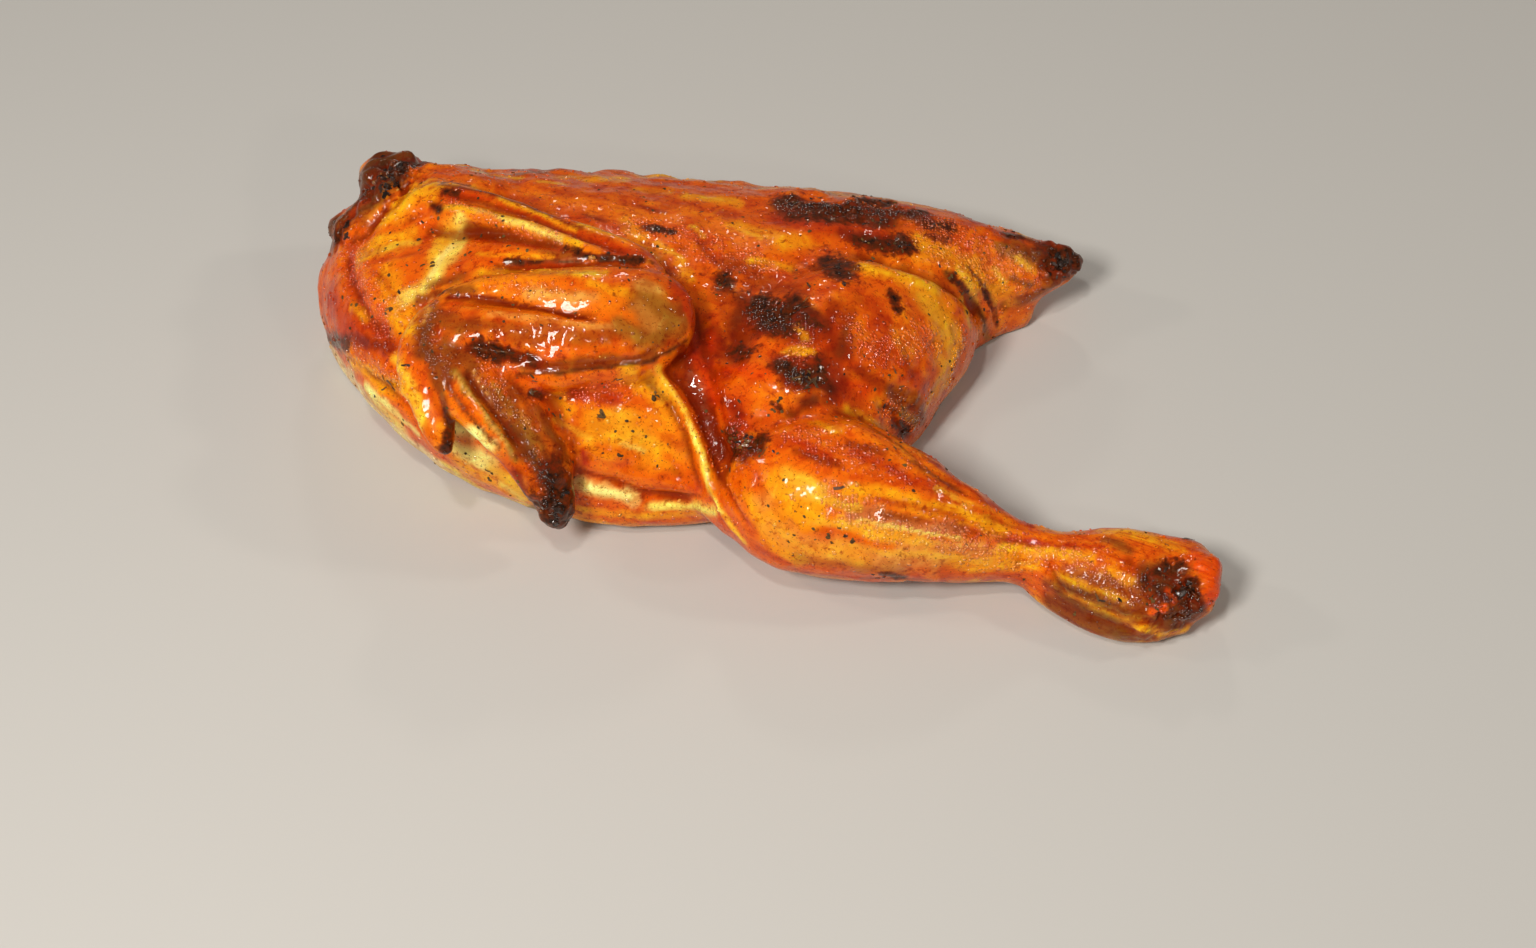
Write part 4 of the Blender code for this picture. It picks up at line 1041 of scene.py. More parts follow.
hollow = measure_hollows(skin, GROOVE_ROUNDS)
valley = measure_hollows(skin, VALLEY_ROUNDS)
for title, depth in (("grooves", hollow), ("valleys", valley)):
    print(title, "in mm, 5% and 95%:", np.percentile(depth, (5, 95)).round(3))

# %% [markdown]
# ## Strands along the limbs
#
# The skin of the drumstick and shank is stretched, so it shows fine strands that run along the bone.
# Each point near the bone gets its angle round it and its place along it.
# A noise that reads these two numbers makes strands that follow the leg as it turns.

# %% Angle round the bone and place along it
LEG_BONE = np.array(((12, -22, 20), (48, -44, 17), (78, -58, 12), (98, -66, 12), (116, -72, 12))) * MM
LEG_REACH, LEG_RADIUS = 26 * MM, 14 * MM
STRANDS_START = (0.18, 0.4)


def leg_strands(points):
    """Columns: angle times a mean radius, place along the bone, and how much the strands show."""
    away, place = nearest_on_line(points, LEG_BONE)
    length = np.linalg.norm(np.diff(LEG_BONE, axis=0), axis=1).sum()
    along = LEG_BONE[-1] - LEG_BONE[0]
    along /= np.linalg.norm(along)
    side = np.cross(along, (0, 0, 1))
    up = np.cross(side, along)
    middle = LEG_BONE[0] + np.outer(place * length, along)
    around = np.arctan2((points - middle) @ up, (points - middle) @ side)
    shown = smooth_step(*STRANDS_START, place) * (1 - smooth_step(0.7 * LEG_REACH, LEG_REACH, away))
    return np.stack((around * LEG_RADIUS, place * length, shown), axis=1)


strands = leg_strands(read_points(skin)[0])
print("points with strands:", int((strands[:, 2] > 0.5).sum()))

# %% [markdown]
# ## Storing what was painted
#
# A material can read named colours from the points of a mesh. One holds the painted tones, one packs
# the masks for char, beads and bare meat, one holds the strands of the leg, and the last holds grooves,
# ridges and the painted shade of the valleys, with how lively the colour is in its fourth channel.
# The cut side underneath is bare meat, so its mask comes from height and from normals that face down.

# %% Attributes of the skin
CUT_HEIGHT, CUT_FACING = (0.6 * MM, 3 * MM), (0.2, 0.8)
# how deep in millimetres a groove has to be to hold glaze, how deep a valley has to be for painted shade, and
# how high a ridge is that has worn
GROOVE_DEPTH, VALLEY_SHADE_DEPTH, RIDGE_HEIGHT = (0.04, 0.26), (0.25, 1.5), (0.02, 0.2)
GLAZE_MISSING, CALMED = 0.8, 0.75

final_points, final_normals = read_points(skin)
near_bottom = 1 - smooth_step(*CUT_HEIGHT, final_points[:, 2])
cut_side = near_bottom * smooth_step(*CUT_FACING, -final_normals[:, 2])
glazed = 1 - GLAZE_MISSING * unglazed_mask
glaze_in_grooves = smooth_step(*GROOVE_DEPTH, hollow) * glazed
# painted shade: the wide valleys are darkened
painted_valley_shade = smooth_step(*VALLEY_SHADE_DEPTH, valley) * glazed
worn_ridges = smooth_step(*RIDGE_HEIGHT, -hollow)


def store(piece, name, *columns):
    """Up to four columns of numbers, one for each point, as a named colour."""
    layer = piece.data.color_attributes.new(name, "FLOAT_COLOR", "POINT")
    values = np.ones((len(piece.data.vertices), 4), np.float32)
    for channel, column in enumerate(columns):
        values[:, channel] = column
    layer.data.foreach_set("color", values.ravel())


store(skin, "skin_tone", *tone_paint.T)
store(skin, "char_beads_meat", char_mask, bead_mask, cut_side)
store(skin, "leg_strands", *strands.T)
store(skin, "grooves_ridges", glaze_in_grooves, worn_ridges, painted_valley_shade, 1 - CALMED * calm_mask)
select_only(skin)
bpy.ops.object.shade_smooth()
print("attributes:", [layer.name for layer in skin.data.color_attributes])

# %% [markdown]
# ## Helpers for materials
#
# A procedural material is a chain of nodes. These helpers add a node, set its sockets and link it,
# so that each material below reads as the list of layers that the real surface has.

# %% Node helpers


class Nodes:
    """A new material and short ways to add nodes to it."""

    def __init__(self, name):
        self.material = bpy.data.materials.new(name)
        self.material.use_nodes = True
        self.tree = self.material.node_tree
        self.shader = self.tree.nodes["Principled BSDF"]
        self.place = self.add("ShaderNodeTexCoord").outputs["Object"]

    def add(self, kind, **settings):
        """A node of this kind, with these settings."""
        node = self.tree.nodes.new(kind)
        for name, value in settings.items():
            setattr(node, name, value)
        return node

    def put(self, value, socket):
        """A value or another node's output goes into a socket."""
        if isinstance(value, bpy.types.NodeSocket):
            self.tree.links.new(value, socket)
        else:
            socket.default_value = value

    def speckle(self, size, detail, rough=0.6, warp=0, place=None):
        """Noise with bumps of this size in millimetres, 0 to 1."""
        node = self.add("ShaderNodeTexNoise")
        self.put(place or self.place, node.inputs["Vector"])
        self.put(1 / (size * MM), node.inputs["Scale"])
        self.put(detail, node.inputs["Detail"])
        self.put(rough, node.inputs["Roughness"])
        self.put(warp, node.inputs["Distortion"])
        return node.outputs["Fac"]

    def ramp(self, value, low, high, to_low=0.0, to_high=1.0):
        """Stretches values from low..high to a new range, without going past it."""
        node = self.add("ShaderNodeMapRange", interpolation_type="SMOOTHSTEP")
        for socket, item in zip(node.inputs, (value, low, high, to_low, to_high)):
            self.put(item, socket)
        return node.outputs["Result"]

    def math(self, operation, a, b):
        node = self.add("ShaderNodeMath", operation=operation)
        self.put(a, node.inputs[0])
        self.put(b, node.inputs[1])
        return node.outputs["Value"]

    def mix(self, factor, a, b, blend="MIX"):
        """Colour a where the factor is 0 and colour b, or their product, where it is 1."""
        node = self.add("ShaderNodeMix", data_type="RGBA", blend_type=blend)
        self.put(factor, node.inputs[0])
        self.put(a, node.inputs[6])
        self.put(b, node.inputs[7])
        return node.outputs[2]

    def stored(self, name):
        """What was stored on the points under this name."""
        return self.add("ShaderNodeAttribute", attribute_name=name)

    def masks(self, name):
        """The first three channels of what was stored, one by one."""
        split = self.add("ShaderNodeSeparateColor")
        self.put(self.stored(name).outputs["Color"], split.inputs[0])
        return split.outputs[0], split.outputs[1], split.outputs[2]

    def bump(self, height, distance, strength, below=None):
        """Small relief in the shading, with its height in millimetres."""
        node = self.add("ShaderNodeBump")
        self.put(strength, node.inputs["Strength"])
        self.put(distance * MM, node.inputs["Distance"])
        self.put(height, node.inputs["Height"])
        if below is not None:
            self.put(below, node.inputs["Normal"])
        return node.outputs["Normal"]

    def finish(self, **sockets):
        """Values and outputs go to the shader's sockets of the same names."""
        for name, value in sockets.items():
            self.put(value, self.shader.inputs[name.replace("_", " ")])
        return self.material


# %% [markdown]
# ## The glazed skin
#
# The real skin is rendered fat under a marinade that has dried to a wet-looking glaze.
# The painted tone is broken up by three sizes of noise, towards red glaze and towards a lighter tone.
# Grooves go dark red, ridges lighter, the wide valleys darker as painted shade, and strands run along
# the leg. Char comes last, with a red and then a brown rim. A filter is multiplied with the tone under it,
# as a thin glaze would be.
# The gloss is a clear coat whose fine bumps are stronger where the fat stands in beads.

# %% Colours of glaze, meat and char
RED_GLAZE = (0.20, 0.014, 0.001, 1)
GLAZE_FILTER = (0.76, 0.46, 0.30, 1)
# the colour of the painted shade in the wide valleys, multiplied with the tone
VALLEY_SHADE_FILTER = (0.42, 0.22, 0.15, 1)
FRECKLE = (0.15, 0.020, 0.002, 1)
LIFT = (1.08, 1.5, 1.8, 1)
CUT_MEAT = (0.66, 0.36, 0.16, 1)
CUT_MEAT_DARK = (0.38, 0.13, 0.045, 1)
CHAR_BLACK = (0.007, 0.0045, 0.0035, 1)
CHAR_BROWN = (0.075, 0.015, 0.003, 1)
CHAR_RED = (0.21, 0.016, 0.0015, 1)
COAT_TINT = (1.0, 0.88, 0.66, 1)
SHINE_TINT = (1.0, 0.6, 0.3, 1)
print("char colours:", CHAR_RED[:3], CHAR_BROWN[:3], CHAR_BLACK[:3])

# %% Material of the skin
BLOTCH_MM, PATCH_MM, FINE_MM, GRAIN_MM = 7, 4.5, 1.6, 0.6
STRAND_MM, STRAND_STRETCH = 1.1, 0.09
RIPPLE_MM, WET_MM = 2.0, 2.6


def strand_noise(n, angle, along):
    """Noise that is drawn out along the leg."""
    place = n.add("ShaderNodeCombineXYZ")
    n.put(angle, place.inputs[0])
    n.put(n.math("MULTIPLY", along, STRAND_STRETCH), place.inputs[1])
    return n.speckle(STRAND_MM, 3, place=place.outputs[0])


def burn(n, colour, char, fine):
    """Char over the colour: a red rim, then brown, then black, all ragged by fine noise."""
    ragged = n.math("MULTIPLY", n.math("SUBTRACT", fine, 0.5), 1.3)
    singed = n.math("ADD", char, n.math("MULTIPLY", ragged, 0.5))
    scorched = n.math("ADD", char, ragged)
    colour = n.mix(n.ramp(singed, 0.02, 0.3, 0, 0.8), colour, CHAR_RED)
    colour = n.mix(n.ramp(scorched, 0.15, 0.5, 0, 0.9), colour, CHAR_BROWN)
    return n.mix(n.ramp(scorched, 0.45, 0.8), colour, CHAR_BLACK)


def glazed_skin():
    n = Nodes("glazed_skin")
    colour = n.stored("skin_tone").outputs["Color"]
    char, beads, meat = n.masks("char_beads_meat")
    angle, along, leg = n.masks("leg_strands")
    groove, ridge, deep = n.masks("grooves_ridges")
    lively = n.stored("grooves_ridges").outputs["Alpha"]
    blotch = n.speckle(BLOTCH_MM, 3, warp=1.0)
    patch = n.speckle(PATCH_MM, 4, warp=0.8)
    fine = n.speckle(FINE_MM, 3, warp=0.4)
    grain = n.speckle(GRAIN_MM, 2)
    strand = strand_noise(n, angle, along)

    glazes = ((blotch, 0.5, 0.66, 0.6), (patch, 0.50, 0.64, 0.7), (fine, 0.54, 0.66, 0.7))
    for layer, low, high, most in glazes:
        factor = n.math("MULTIPLY", lively, n.ramp(layer, low, high, 0, most))
        colour = n.mix(factor, colour, GLAZE_FILTER, "MULTIPLY")
    colour = n.mix(n.ramp(patch, 0.46, 0.32, 0, 0.7), colour, LIFT, "MULTIPLY")
    for low, high, most, tint in ((0.52, 0.66, 0.8, GLAZE_FILTER), (0.46, 0.34, 0.7, LIFT)):
        factor = n.math("MULTIPLY", leg, n.ramp(strand, low, high, 0, most))
        colour = n.mix(factor, colour, tint, "MULTIPLY")
    # painted shade in the wide valleys
    colour = n.mix(n.math("MULTIPLY", deep, 0.8), colour, VALLEY_SHADE_FILTER, "MULTIPLY")
    colour = n.mix(n.math("MULTIPLY", groove, 0.6), colour, RED_GLAZE)
    colour = n.mix(n.math("MULTIPLY", ridge, 0.8), colour, LIFT, "MULTIPLY")
    colour = n.mix(n.ramp(grain, 0.62, 0.70, 0, 0.8), colour, FRECKLE)
    cut = n.mix(n.ramp(n.speckle(3, 5, warp=1.5), 0.4, 0.68), CUT_MEAT, CUT_MEAT_DARK)
    colour = burn(n, n.mix(meat, colour, cut), char, fine)

    rough = n.math("MAXIMUM", n.ramp(patch, 0.3, 0.7, 0.24, 0.40), n.math("MULTIPLY", meat, 0.55))
    relief = n.bump(n.speckle(RIPPLE_MM, 1, 0.5), 0.35, n.ramp(beads, 0, 1, 0.35, 0.8))
    relief = n.bump(strand, 0.4, n.math("MULTIPLY", leg, 0.5), relief)
    wet = n.bump(n.speckle(WET_MM, 0, 0.5), 0.6, n.ramp(beads, 0, 1, 0.9, 1.8))
    return n.finish(
        Base_Color=colour, Roughness=rough, Normal=relief,
        Specular_IOR_Level=0.1, Specular_Tint=SHINE_TINT,
        Subsurface_Weight=0.1, Subsurface_Radius=(1.0, 0.35, 0.1), Subsurface_Scale=1.5 * MM,
        Coat_Weight=n.ramp(n.math("MAXIMUM", groove, meat), 0, 1, 0.36, 0.12), Coat_Roughness=0.04,
        Coat_IOR=1.5, Coat_Tint=COAT_TINT, Coat_Normal=wet,
    )


skin.data.materials.clear()
skin.data.materials.append(glazed_skin())
print("skin material nodes:", len(skin.data.materials[0].node_tree.nodes))

# %% [markdown]
# ## Crumbs on the skin
#
# Herbs, garlic and burnt crumbs of the marinade stick to the glaze. Each kind is modelled once,
# in a few shapes, from a primitive that is cut, bent and roughened. Copies are then turned to the surface
# at random places, more where the photo shows clusters, and each kind is joined to one piece.

# %% Model one crumb of each kind


def crumb(name, seed, stretch, rough):
    """A small lump: an icosphere, stretched and roughened in edit mode."""
    bpy.ops.object.select_all(action="DESELECT")
    bpy.ops.mesh.primitive_ico_sphere_add(subdivisions=2, radius=0.5, location=(0, 0, 0))
    lump = bpy.context.object
    lump.name = name
    bpy.ops.object.mode_set(mode="EDIT")
    bpy.ops.transform.vertex_random(offset=rough, uniform=0.6, seed=seed)
    bpy.ops.transform.resize(value=stretch)
    bpy.ops.object.mode_set(mode="OBJECT")
    return lump


def leaf(name, seed, length, width):
    """A dried leaf: a grid, narrowed at its ends, curled, crumpled and given a little thickness."""
    bpy.ops.object.select_all(action="DESELECT")
    bpy.ops.mesh.primitive_grid_add(x_subdivisions=4, y_subdivisions=2, size=1, location=(0, 0, 0))
    blade = bpy.context.object
    blade.name = name
    for vertex in blade.data.vertices:
        vertex.co.y *= width * (1.05 - 1.6 * vertex.co.x ** 2)
        vertex.co.x *= length
        vertex.co.z = 0.25 * width * math.cos(3 * vertex.co.x / length)
    bpy.ops.object.mode_set(mode="EDIT")
    bpy.ops.mesh.select_all(action="SELECT")
    bpy.ops.transform.vertex_random(offset=0.07 * length, uniform=0.3, seed=seed)
    bpy.ops.object.mode_set(mode="OBJECT")
    apply_modifier(blade, "SOLIDIFY", thickness=0.12 * width, offset=0)
    return blade


SHAPES = {
    "herb": [
        leaf("herb_shape", 3, 1.0, 0.7), leaf("herb_shape", 8, 1.2, 0.5),
        crumb("herb_shape", 5, (1, 0.7, 0.4), 0.12),
    ],
    "needle": [leaf("needle_shape", 4, 1.0, 0.16), leaf("needle_shape", 9, 1.0, 0.2)],
    "garlic": [
        crumb("garlic_shape", 2, (1, 0.75, 0.5), 0.1), crumb("garlic_shape", 6, (1.2, 0.6, 0.45), 0.14),
    ],
    "char": [
        crumb("char_shape", 7, (1, 0.8, 0.42), 0.26), crumb("char_shape", 11, (1.2, 0.6, 0.36), 0.3),
    ],
}
print("faces of each shape:", {kind: [len(s.data.polygons) for s in row] for kind, row in SHAPES.items()})

# %% [markdown]
# ## Where the crumbs lie
#
# Every crumb has a size, a place on the skin and a turn. Most are strewn by a seeded rule all over the skin,
# and clusters are placed by pixel. A small part of each sinks into the glaze, so none floats.

# %% Clusters of crumbs
CRAG_MM = 2.4
CLUSTERS = {
    # kind: rows of number, spread in pixels, size in mm, pixel
    "herb": (
        (8, 34, 1.0, (440, 250)), (6, 22, 1.0, (380, 300)), (7, 26, 0.9, (500, 220)),
        (10, 40, 0.8, (640, 440)), (8, 26, 1.0, (900, 350)), (10, 30, 1.1, (970, 290)),
        (8, 24, 1.0, (900, 420)), (9, 26, 1.1, (880, 235)), (10, 30, 0.9, (800, 520)),
        (6, 30, 0.9, (640, 220)), (5, 16, 1.2, (850, 536)), (7, 24, 1.1, (1160, 590)),
        (7, 22, 1.1, (745, 440)), (7, 24, 1.1, (790, 380)), (5, 22, 1.0, (560, 400)),
        (6, 26, 1.0, (430, 345)), (4, 6, 1.3, (487, 477)), (3, 4, 1.8, (601, 414)),
        (2, 3, 1.6, (655, 397)), (3, 7, 1.5, (774, 409)), (3, 6, 1.5, (829, 540)),
        (3, 4, 1.4, (434, 262)), (3, 8, 1.4, (395, 300)), (3, 8, 1.4, (350, 300)),
    ),
    "needle": (
        (1, 0, 4.5, (388, 381)), (1, 1, 3.6, (384, 379)), (1, 0, 3.4, (613, 381)),
        (1, 0, 2.6, (621, 379)), (2, 3, 3.5, (532, 391)), (4, 8, 3.5, (803, 378)),
        (3, 7, 3.2, (813, 384)), (4, 9, 3.6, (742, 446)), (2, 6, 3.2, (731, 442)),
        (2, 6, 3.2, (1105, 600)), (2, 8, 2.8, (903, 378)), (2, 8, 2.6, (760, 455)),
        (2, 10, 2.8, (395, 392)), (2, 10, 2.6, (960, 300)), (2, 10, 2.6, (898, 446)),
        (3, 12, 2.6, (806, 290)),
    ),
    "garlic": (
        (1, 0, 4.2, (590, 255)), (2, 5, 1.6, (566, 243)), (3, 6, 1.3, (561, 246)),
        (2, 3, 2.4, (746, 434)), (5, 9, 1.3, (748, 436)), (4, 10, 1.4, (796, 330)),
        (3, 8, 1.4, (800, 352)), (5, 14, 1.5, (868, 200)), (4, 12, 1.5, (836, 214)),
        (2, 3, 1.9, (836, 279)), (1, 0, 2.2, (814, 287)), (5, 20, 1.2, (930, 245)),
        (4, 14, 1.2, (388, 185)), (4, 16, 1.0, (600, 345)), (2, 10, 1.1, (1110, 605)),
        (6, 30, 1.1, (880, 300)), (3, 12, 1.1, (490, 358)), (3, 14, 1.1, (900, 412)),
        (2, 4, 1.3, (694, 332)), (4, 20, 1.1, (730, 215)),
    ),
    "char": (
        (9, 12, CRAG_MM, (388, 182)), (3, 6, CRAG_MM, (404, 164)), (4, 8, 2.0, (347, 228)),
        (9, 8, CRAG_MM, (1064, 263)), (5, 7, CRAG_MM, (555, 518)), (4, 8, CRAG_MM, (1184, 590)),
        (10, 12, 1.5, (390, 180)), (9, 10, 1.6, (1062, 264)), (8, 14, 1.3, (1180, 588)),
        (9, 10, 1.4, (744, 444)), (9, 12, 1.4, (802, 374)), (9, 13, 1.4, (778, 314)),
        (6, 9, 1.5, (838, 270)), (9, 20, 1.2, (870, 206)), (6, 16, 1.2, (815, 207)),
        (5, 8, 1.3, (901, 243)), (7, 11, 1.3, (555, 500)), (4, 8, 1.0, (492, 355)),
        (5, 16, 1.0, (625, 260)), (4, 9, 1.0, (902, 428)), (3, 5, 1.0, (660, 231)),
        (3, 5, 1.0, (726, 281)), (3, 6, 1.2, (875, 577)), (3, 10, 1.0, (1015, 238)),
        (3, 8, 0.9, (742, 349)),
    ),
}
print("clusters:", {kind: len(rows) for kind, rows in CLUSTERS.items()})

# %% Places of the crumbs
# number and size in mm of those that are strewn, and how much smaller or larger single ones are
STREWN = {"herb": (300, 0.8), "needle": (16, 2.4), "garlic": (70, 0.9), "char": (60, 0.8)}
STREWN_SIZES, CLUSTER_SIZES = (0.35, 1.6), (0.7, 1.25)
CLUSTER_SPREAD = 0.6
LOWEST_CRUMB, STEEPEST_CRUMB = 2.5 * MM, -0.35


def crumb_places(piece, kind, rng):
    """Rows of place, normal and size in metres."""
    tree = surface_tree(piece)
    points, normals = read_points(piece)
    upper = np.flatnonzero((points[:, 2] > LOWEST_CRUMB) & (normals[:, 2] > STEEPEST_CRUMB))
    number, size = STREWN[kind]
    chosen = rng.choice(upper, number)
    rows = [(points[i], normals[i], size * MM * rng.uniform(*STREWN_SIZES)) for i in chosen]
    for count, spread, size, (u, v) in CLUSTERS[kind]:
        for _ in range(count):
            drift = spread * CLUSTER_SPREAD
            place = at_pixel(tree, u + rng.normal(0, drift), v + rng.normal(0, drift))
            place, normal, _, _ = tree.find_nearest(Vector(place))
            rows.append((np.array(place), np.array(normal), size * MM * rng.uniform(*CLUSTER_SIZES)))
    return rows


# %% [markdown]
# ## Copying the crumbs
#
# Each copy takes one of the shapes of its kind, turned at random about the normal of the skin
# and a little tilted. The copies of one kind are put into a single mesh, which is far lighter
# than hundreds of objects.

# %% Copies of each kind
SINK = {"herb": 0.05, "needle": 0.02, "garlic": 0.22, "char": 0.1}
CRUMB_TILT = 0.16
CRUMB_EDGE = math.radians(35)


def random_turn(rng, normal, tilt, most):
    """A matrix that stands a shape on the skin, leans it a little and spins it round."""
    lean = Vector(normal) + Vector(rng.normal(0, tilt, 3))
    turn = lean.to_track_quat("Z", "Y").to_matrix() @ Matrix.Rotation(rng.uniform(0, most), 3, "Z")
    return np.array(turn).T


def new_piece(name, mesh):
    """A selected object for a mesh that was put together from copies."""
    piece = bpy.data.objects.new(name, mesh)
    bpy.context.scene.collection.objects.link(piece)
    select_only(piece)
    return piece


def copy_crumbs(name, kind, seed):
    """All the crumbs of one kind as one piece, each with its own shade."""
    rng = np.random.default_rng(seed)
    shapes = []
    for shape in SHAPES[kind]:
        corners = np.array([vertex.co[:] for vertex in shape.data.vertices])
        shapes.append((corners, [tuple(face.vertices) for face in shape.data.polygons]))
    corners, faces, shades, start = [], [], [], 0
    for place, normal, size in crumb_places(skin, kind, rng):
        shape_corners, shape_faces = shapes[rng.integers(len(shapes))]
        turn = random_turn(rng, normal, CRUMB_TILT, math.tau)
        moved = shape_corners * size @ turn + place - normal * SINK[kind] * size
        corners.append(moved)
        faces += [[start + k for k in face] for face in shape_faces]
        shades += [rng.uniform()] * len(moved)
        start += len(moved)
    mesh = bpy.data.meshes.new(name)
    mesh.from_pydata(np.concatenate(corners).tolist(), [], faces)
    piece = new_piece(name, mesh)
    store(piece, "crumb_shade", shades, shades, shades)
    bpy.ops.object.shade_smooth_by_angle(angle=CRUMB_EDGE)
    print(name, "faces:", len(mesh.polygons))
    return piece


herbs = copy_crumbs("dried_herbs", "herb", 51)
needles = copy_crumbs("herb_needles", "needle", 52)
garlic = copy_crumbs("garlic_crumbs", "garlic", 53)
burnt_crumbs = copy_crumbs("burnt_crumbs", "char", 54)
for row in SHAPES.values():
    for shape in row:
        bpy.data.objects.remove(shape)

# %% [markdown]
# ## Beads of fat
#
# Fat and meat juice stand on hot skin as tiny flat drops, and each throws back one sharp sparkle.
# A steep dome would mirror the lamp in a point too small to see, and a flat one mirrors it whole, so each
# drop is a flat lens with a round edge, tipped a little at random: those that face right light up.
# It takes the tone of the skin under it, so it reads as part of the glaze.

# %% Model one drop
DROP_FLATNESS = 0.24
DROP_CUT, DROP_ROOT = -0.03, -0.3


def model_drop():
    """A flat half of a ball, 1 across, whose lower edge goes down into the skin as a root."""
    bpy.ops.object.select_all(action="DESELECT")
    bpy.ops.mesh.primitive_uv_sphere_add(segments=6, ring_count=3, radius=0.5, location=(0, 0, 0))
    drop = bpy.context.object
    bpy.ops.object.mode_set(mode="EDIT")
    bpy.ops.mesh.select_all(action="SELECT")
    bpy.ops.transform.resize(value=(1, 1, DROP_FLATNESS))
    bpy.ops.mesh.bisect(plane_co=(0, 0, DROP_CUT), plane_no=(0, 0, 1), clear_inner=True, use_fill=True)
    bpy.ops.object.mode_set(mode="OBJECT")
    for vertex in drop.data.vertices:
        if vertex.co.z < 0.7 * DROP_CUT:
            vertex.co.z = DROP_ROOT
    return drop


drop = model_drop()
print("points of a drop:", len(drop.data.vertices))

# %% Copy the drop
DROPS = 8000
DROP_SIZE, DROP_SIZE_POWER = (0.4, 1.4), 1.3
DROP_TILT, DROP_TURN, DROP_RISE = 0.26, 6, 0.03
DROP_LENGTH, DROP_HEIGHT = (0.55, 1), (0.5, 0.9)
# how likely a drop is on smooth skin, against 1 where the glaze is beaded
DROP_CHANCE, DROP_CHANCE_POWER = 0.06, 1.3
LOWEST_DROP, STEEPEST_DROP = 2 * MM, -0.3
BURNT_DARKER = 0.93


def copy_drops(shape):
    """All the drops as one piece, each in the tone of the skin under it."""
    rng = np.random.default_rng(61)
    points, normals = read_points(skin)
    wet = np.clip(bead_mask, DROP_CHANCE, 1) ** DROP_CHANCE_POWER
    wet *= (points[:, 2] > LOWEST_DROP) * (normals[:, 2] > STEEPEST_DROP)
    chosen = rng.choice(len(points), DROPS, replace=False, p=wet / wet.sum())
    shape_corners = np.array([vertex.co[:] for vertex in shape.data.vertices])
    shape_faces = np.array([len(face.vertices) for face in shape.data.polygons])
    loops = np.concatenate([list(face.vertices) for face in shape.data.polygons])
    corners, all_loops, tones = [], [], []
    for number, index in enumerate(chosen):
        size = rng.uniform(*DROP_SIZE) ** DROP_SIZE_POWER * MM
        turn = random_turn(rng, normals[index], DROP_TILT, DROP_TURN)
        oval = np.array((1, rng.uniform(*DROP_LENGTH), rng.uniform(*DROP_HEIGHT)))
        place = points[index] + DROP_RISE * size * normals[index]
        corners.append(shape_corners * oval * size @ turn + place)
        all_loops.append(loops + number * len(shape_corners))
        tone = tone_paint[index] * (1 - BURNT_DARKER * char_mask[index])
        tones.append(np.repeat(tone[None], len(shape_corners), axis=0))
    mesh = bpy.data.meshes.new("fat_beads")
    mesh.vertices.add(DROPS * len(shape_corners))
    mesh.vertices.foreach_set("co", np.concatenate(corners).ravel())
    mesh.loops.add(DROPS * len(loops))
    mesh.loops.foreach_set("vertex_index", np.concatenate(all_loops))
    sizes = np.tile(shape_faces, DROPS)
    mesh.polygons.add(len(sizes))
    mesh.polygons.foreach_set("loop_start", np.concatenate(((0,), np.cumsum(sizes)[:-1])))
    mesh.update(calc_edges=True)
    piece = new_piece("fat_beads", mesh)
    store(piece, "skin_tone", *np.concatenate(tones).T)
    bpy.ops.object.shade_smooth()
    return piece


fat_beads = copy_drops(drop)
bpy.data.objects.remove(drop)
print("beads:", DROPS, "faces:", len(fat_beads.data.polygons))

# %% Material of the beads


def fat_material():
    n = Nodes("amber_fat")
    tone = n.stored("skin_tone").outputs["Color"]
    colour = n.mix(n.ramp(n.speckle(3, 2, 0.5), 0.45, 0.65, 0, 0.6), tone, GLAZE_FILTER, "MULTIPLY")
    return n.finish(
        Base_Color=colour, Roughness=0.12, Specular_IOR_Level=0.6, Coat_Weight=0.8, Coat_Roughness=0.04,
    )


fat_beads.data.materials.append(fat_material())
print("bead material:", fat_beads.data.materials[0].name)

# %% [markdown]
# ## Crumb materials
#
# Each crumb has its own shade, a number that was stored on its points, so no two look the same.
# Dried and singed herbs are a dark olive brown, garlic is yellow with browned spots,
# and burnt crumbs shine a little where fat has soaked them.

# %% Materials of the crumbs


def crumb_material(name, roughness, coat, dark, light, fleck):
    """Two shades that the crumb's own number mixes, with small flecks."""
    n = Nodes(name)
    shade = n.masks("crumb_shade")[0]
    colour = n.mix(shade, dark, light)
    colour = n.mix(n.ramp(n.speckle(0.5, 3), 0.5, 0.68, 0, 0.7), colour, fleck)
    relief = n.bump(n.speckle(0.3, 2), 0.15, 0.5)
    return n.finish(
        Base_Color=colour, Roughness=roughness, Normal=relief, Specular_IOR_Level=0.3,
        Coat_Weight=coat, Coat_Roughness=0.12,
    )


CRUMB_FINISHES = (
    # piece, name of the material, roughness, coat, and the dark, light and fleck colours
    (herbs, "dried_herb", 0.75, 0, (0.045, 0.020, 0.005, 1), (0.16, 0.085, 0.016, 1),
     (0.03, 0.010, 0.003, 1)),
    (needles, "herb_stem", 0.4, 0.4, (0.05, 0.02, 0.006, 1), (0.22, 0.09, 0.02, 1), (0.02, 0.008, 0.003, 1)),
    (garlic, "browned_garlic", 0.35, 0.4, (0.45, 0.17, 0.015, 1), (0.80, 0.44, 0.07, 1),
     (0.25, 0.05, 0.006, 1)),
    (burnt_crumbs, "burnt_fat", 0.4, 0.4, (0.006, 0.004, 0.003, 1), (0.05, 0.014, 0.005, 1),
     (0.004, 0.003, 0.002, 1)),
)
for piece, *finish in CRUMB_FINISHES:
    piece.data.materials.append(crumb_material(*finish))
print("crumb materials:", [row[1] for row in CRUMB_FINISHES])

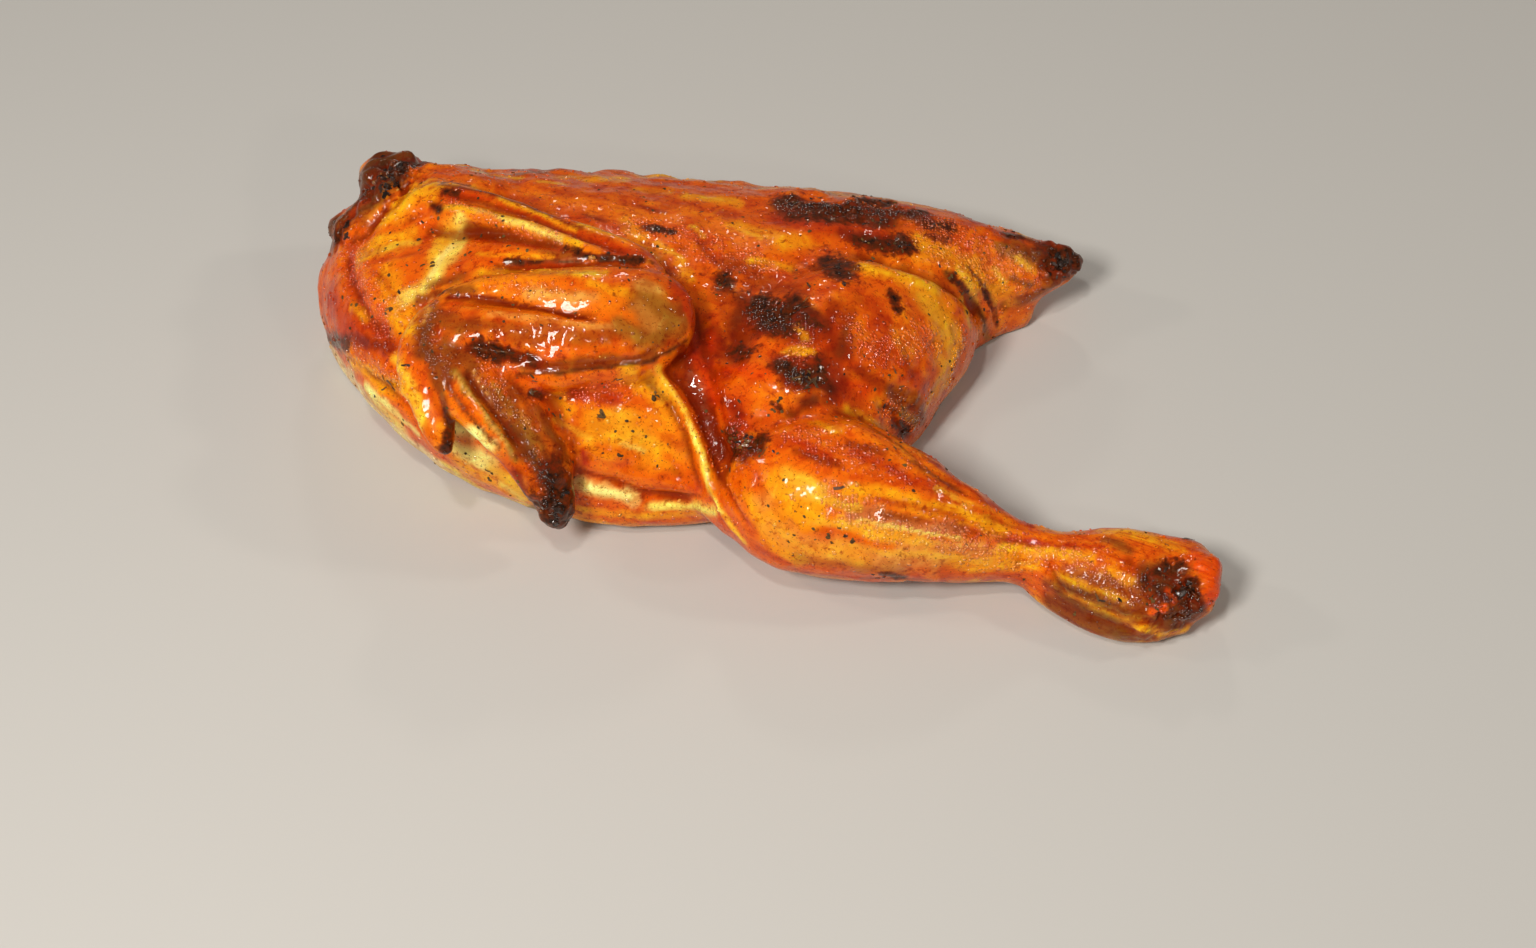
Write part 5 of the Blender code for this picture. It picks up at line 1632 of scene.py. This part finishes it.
# %% [markdown]
# ## Floor, light and background
#
# A pale floor and soft light show the piece for what it is. The main light stands in front, above and
# to the left, so the shadows fall softly behind the bird. Wet skin is known by its glints,
# so small weak lamps stand all round it, for the glaze and the beads to mirror from every side.

# %% Floor
FLOOR_COLOUR = (0.58, 0.57, 0.55, 1)

bpy.ops.object.select_all(action="DESELECT")
bpy.ops.mesh.primitive_plane_add(size=6, location=(0, 0, 0))
floor = bpy.context.object
floor.name = "pale_floor"
pale = Nodes("pale_floor")
floor.data.materials.append(pale.finish(Base_Color=FLOOR_COLOUR, Roughness=0.8))
print("floor:", [round(side, 1) for side in floor.dimensions])

# %% Lights
WORLD_COLOUR, WORLD_STRENGTH = (1.0, 0.98, 0.95, 1), 0.13
LIGHTS = (
    # name, place, size in metres, watts, colour
    ("key", (-0.34, -0.56, 0.75), 0.2, 6.5, (1.0, 0.95, 0.88)),
    ("glint", (-0.12, -0.34, 0.92), 0.06, 1.6, (1.0, 0.95, 0.88)),
    ("left", (-0.80, 0.10, 0.60), 0.08, 0.7, (1.0, 0.92, 0.80)),
    ("right", (0.72, 0.02, 0.66), 0.08, 0.9, (1.0, 0.92, 0.80)),
    ("front right", (0.38, -0.72, 0.52), 0.06, 0.6, (1.0, 0.92, 0.80)),
    ("behind", (0.06, 0.75, 0.60), 0.08, 0.6, (1.0, 0.92, 0.80)),
)
for name, place, size, watts, colour in LIGHTS:
    light = bpy.data.lights.new(name, "AREA")
    light.size = size
    light.energy = watts
    light.color = colour
    lamp = bpy.data.objects.new(name, light)
    bpy.context.scene.collection.objects.link(lamp)
    lamp.location = place
    lamp.rotation_mode = "QUATERNION"
    lamp.rotation_quaternion = (-Vector(place)).to_track_quat("-Z", "Y")
world = bpy.data.worlds.new("studio")
bpy.context.scene.world = world
world.use_nodes = True
world.node_tree.nodes["Background"].inputs["Color"].default_value = WORLD_COLOUR
world.node_tree.nodes["Background"].inputs["Strength"].default_value = WORLD_STRENGTH
print("lights:", [row[0] for row in LIGHTS])

# %% [markdown]
# ## The pieces on their body
#
# The skin stands for the CAD solid and rides on its one body.

# %% Bodies and the end
for piece in (skin, herbs, needles, garlic, burnt_crumbs, fat_beads):
    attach(piece, "root")
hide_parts("half_chicken")
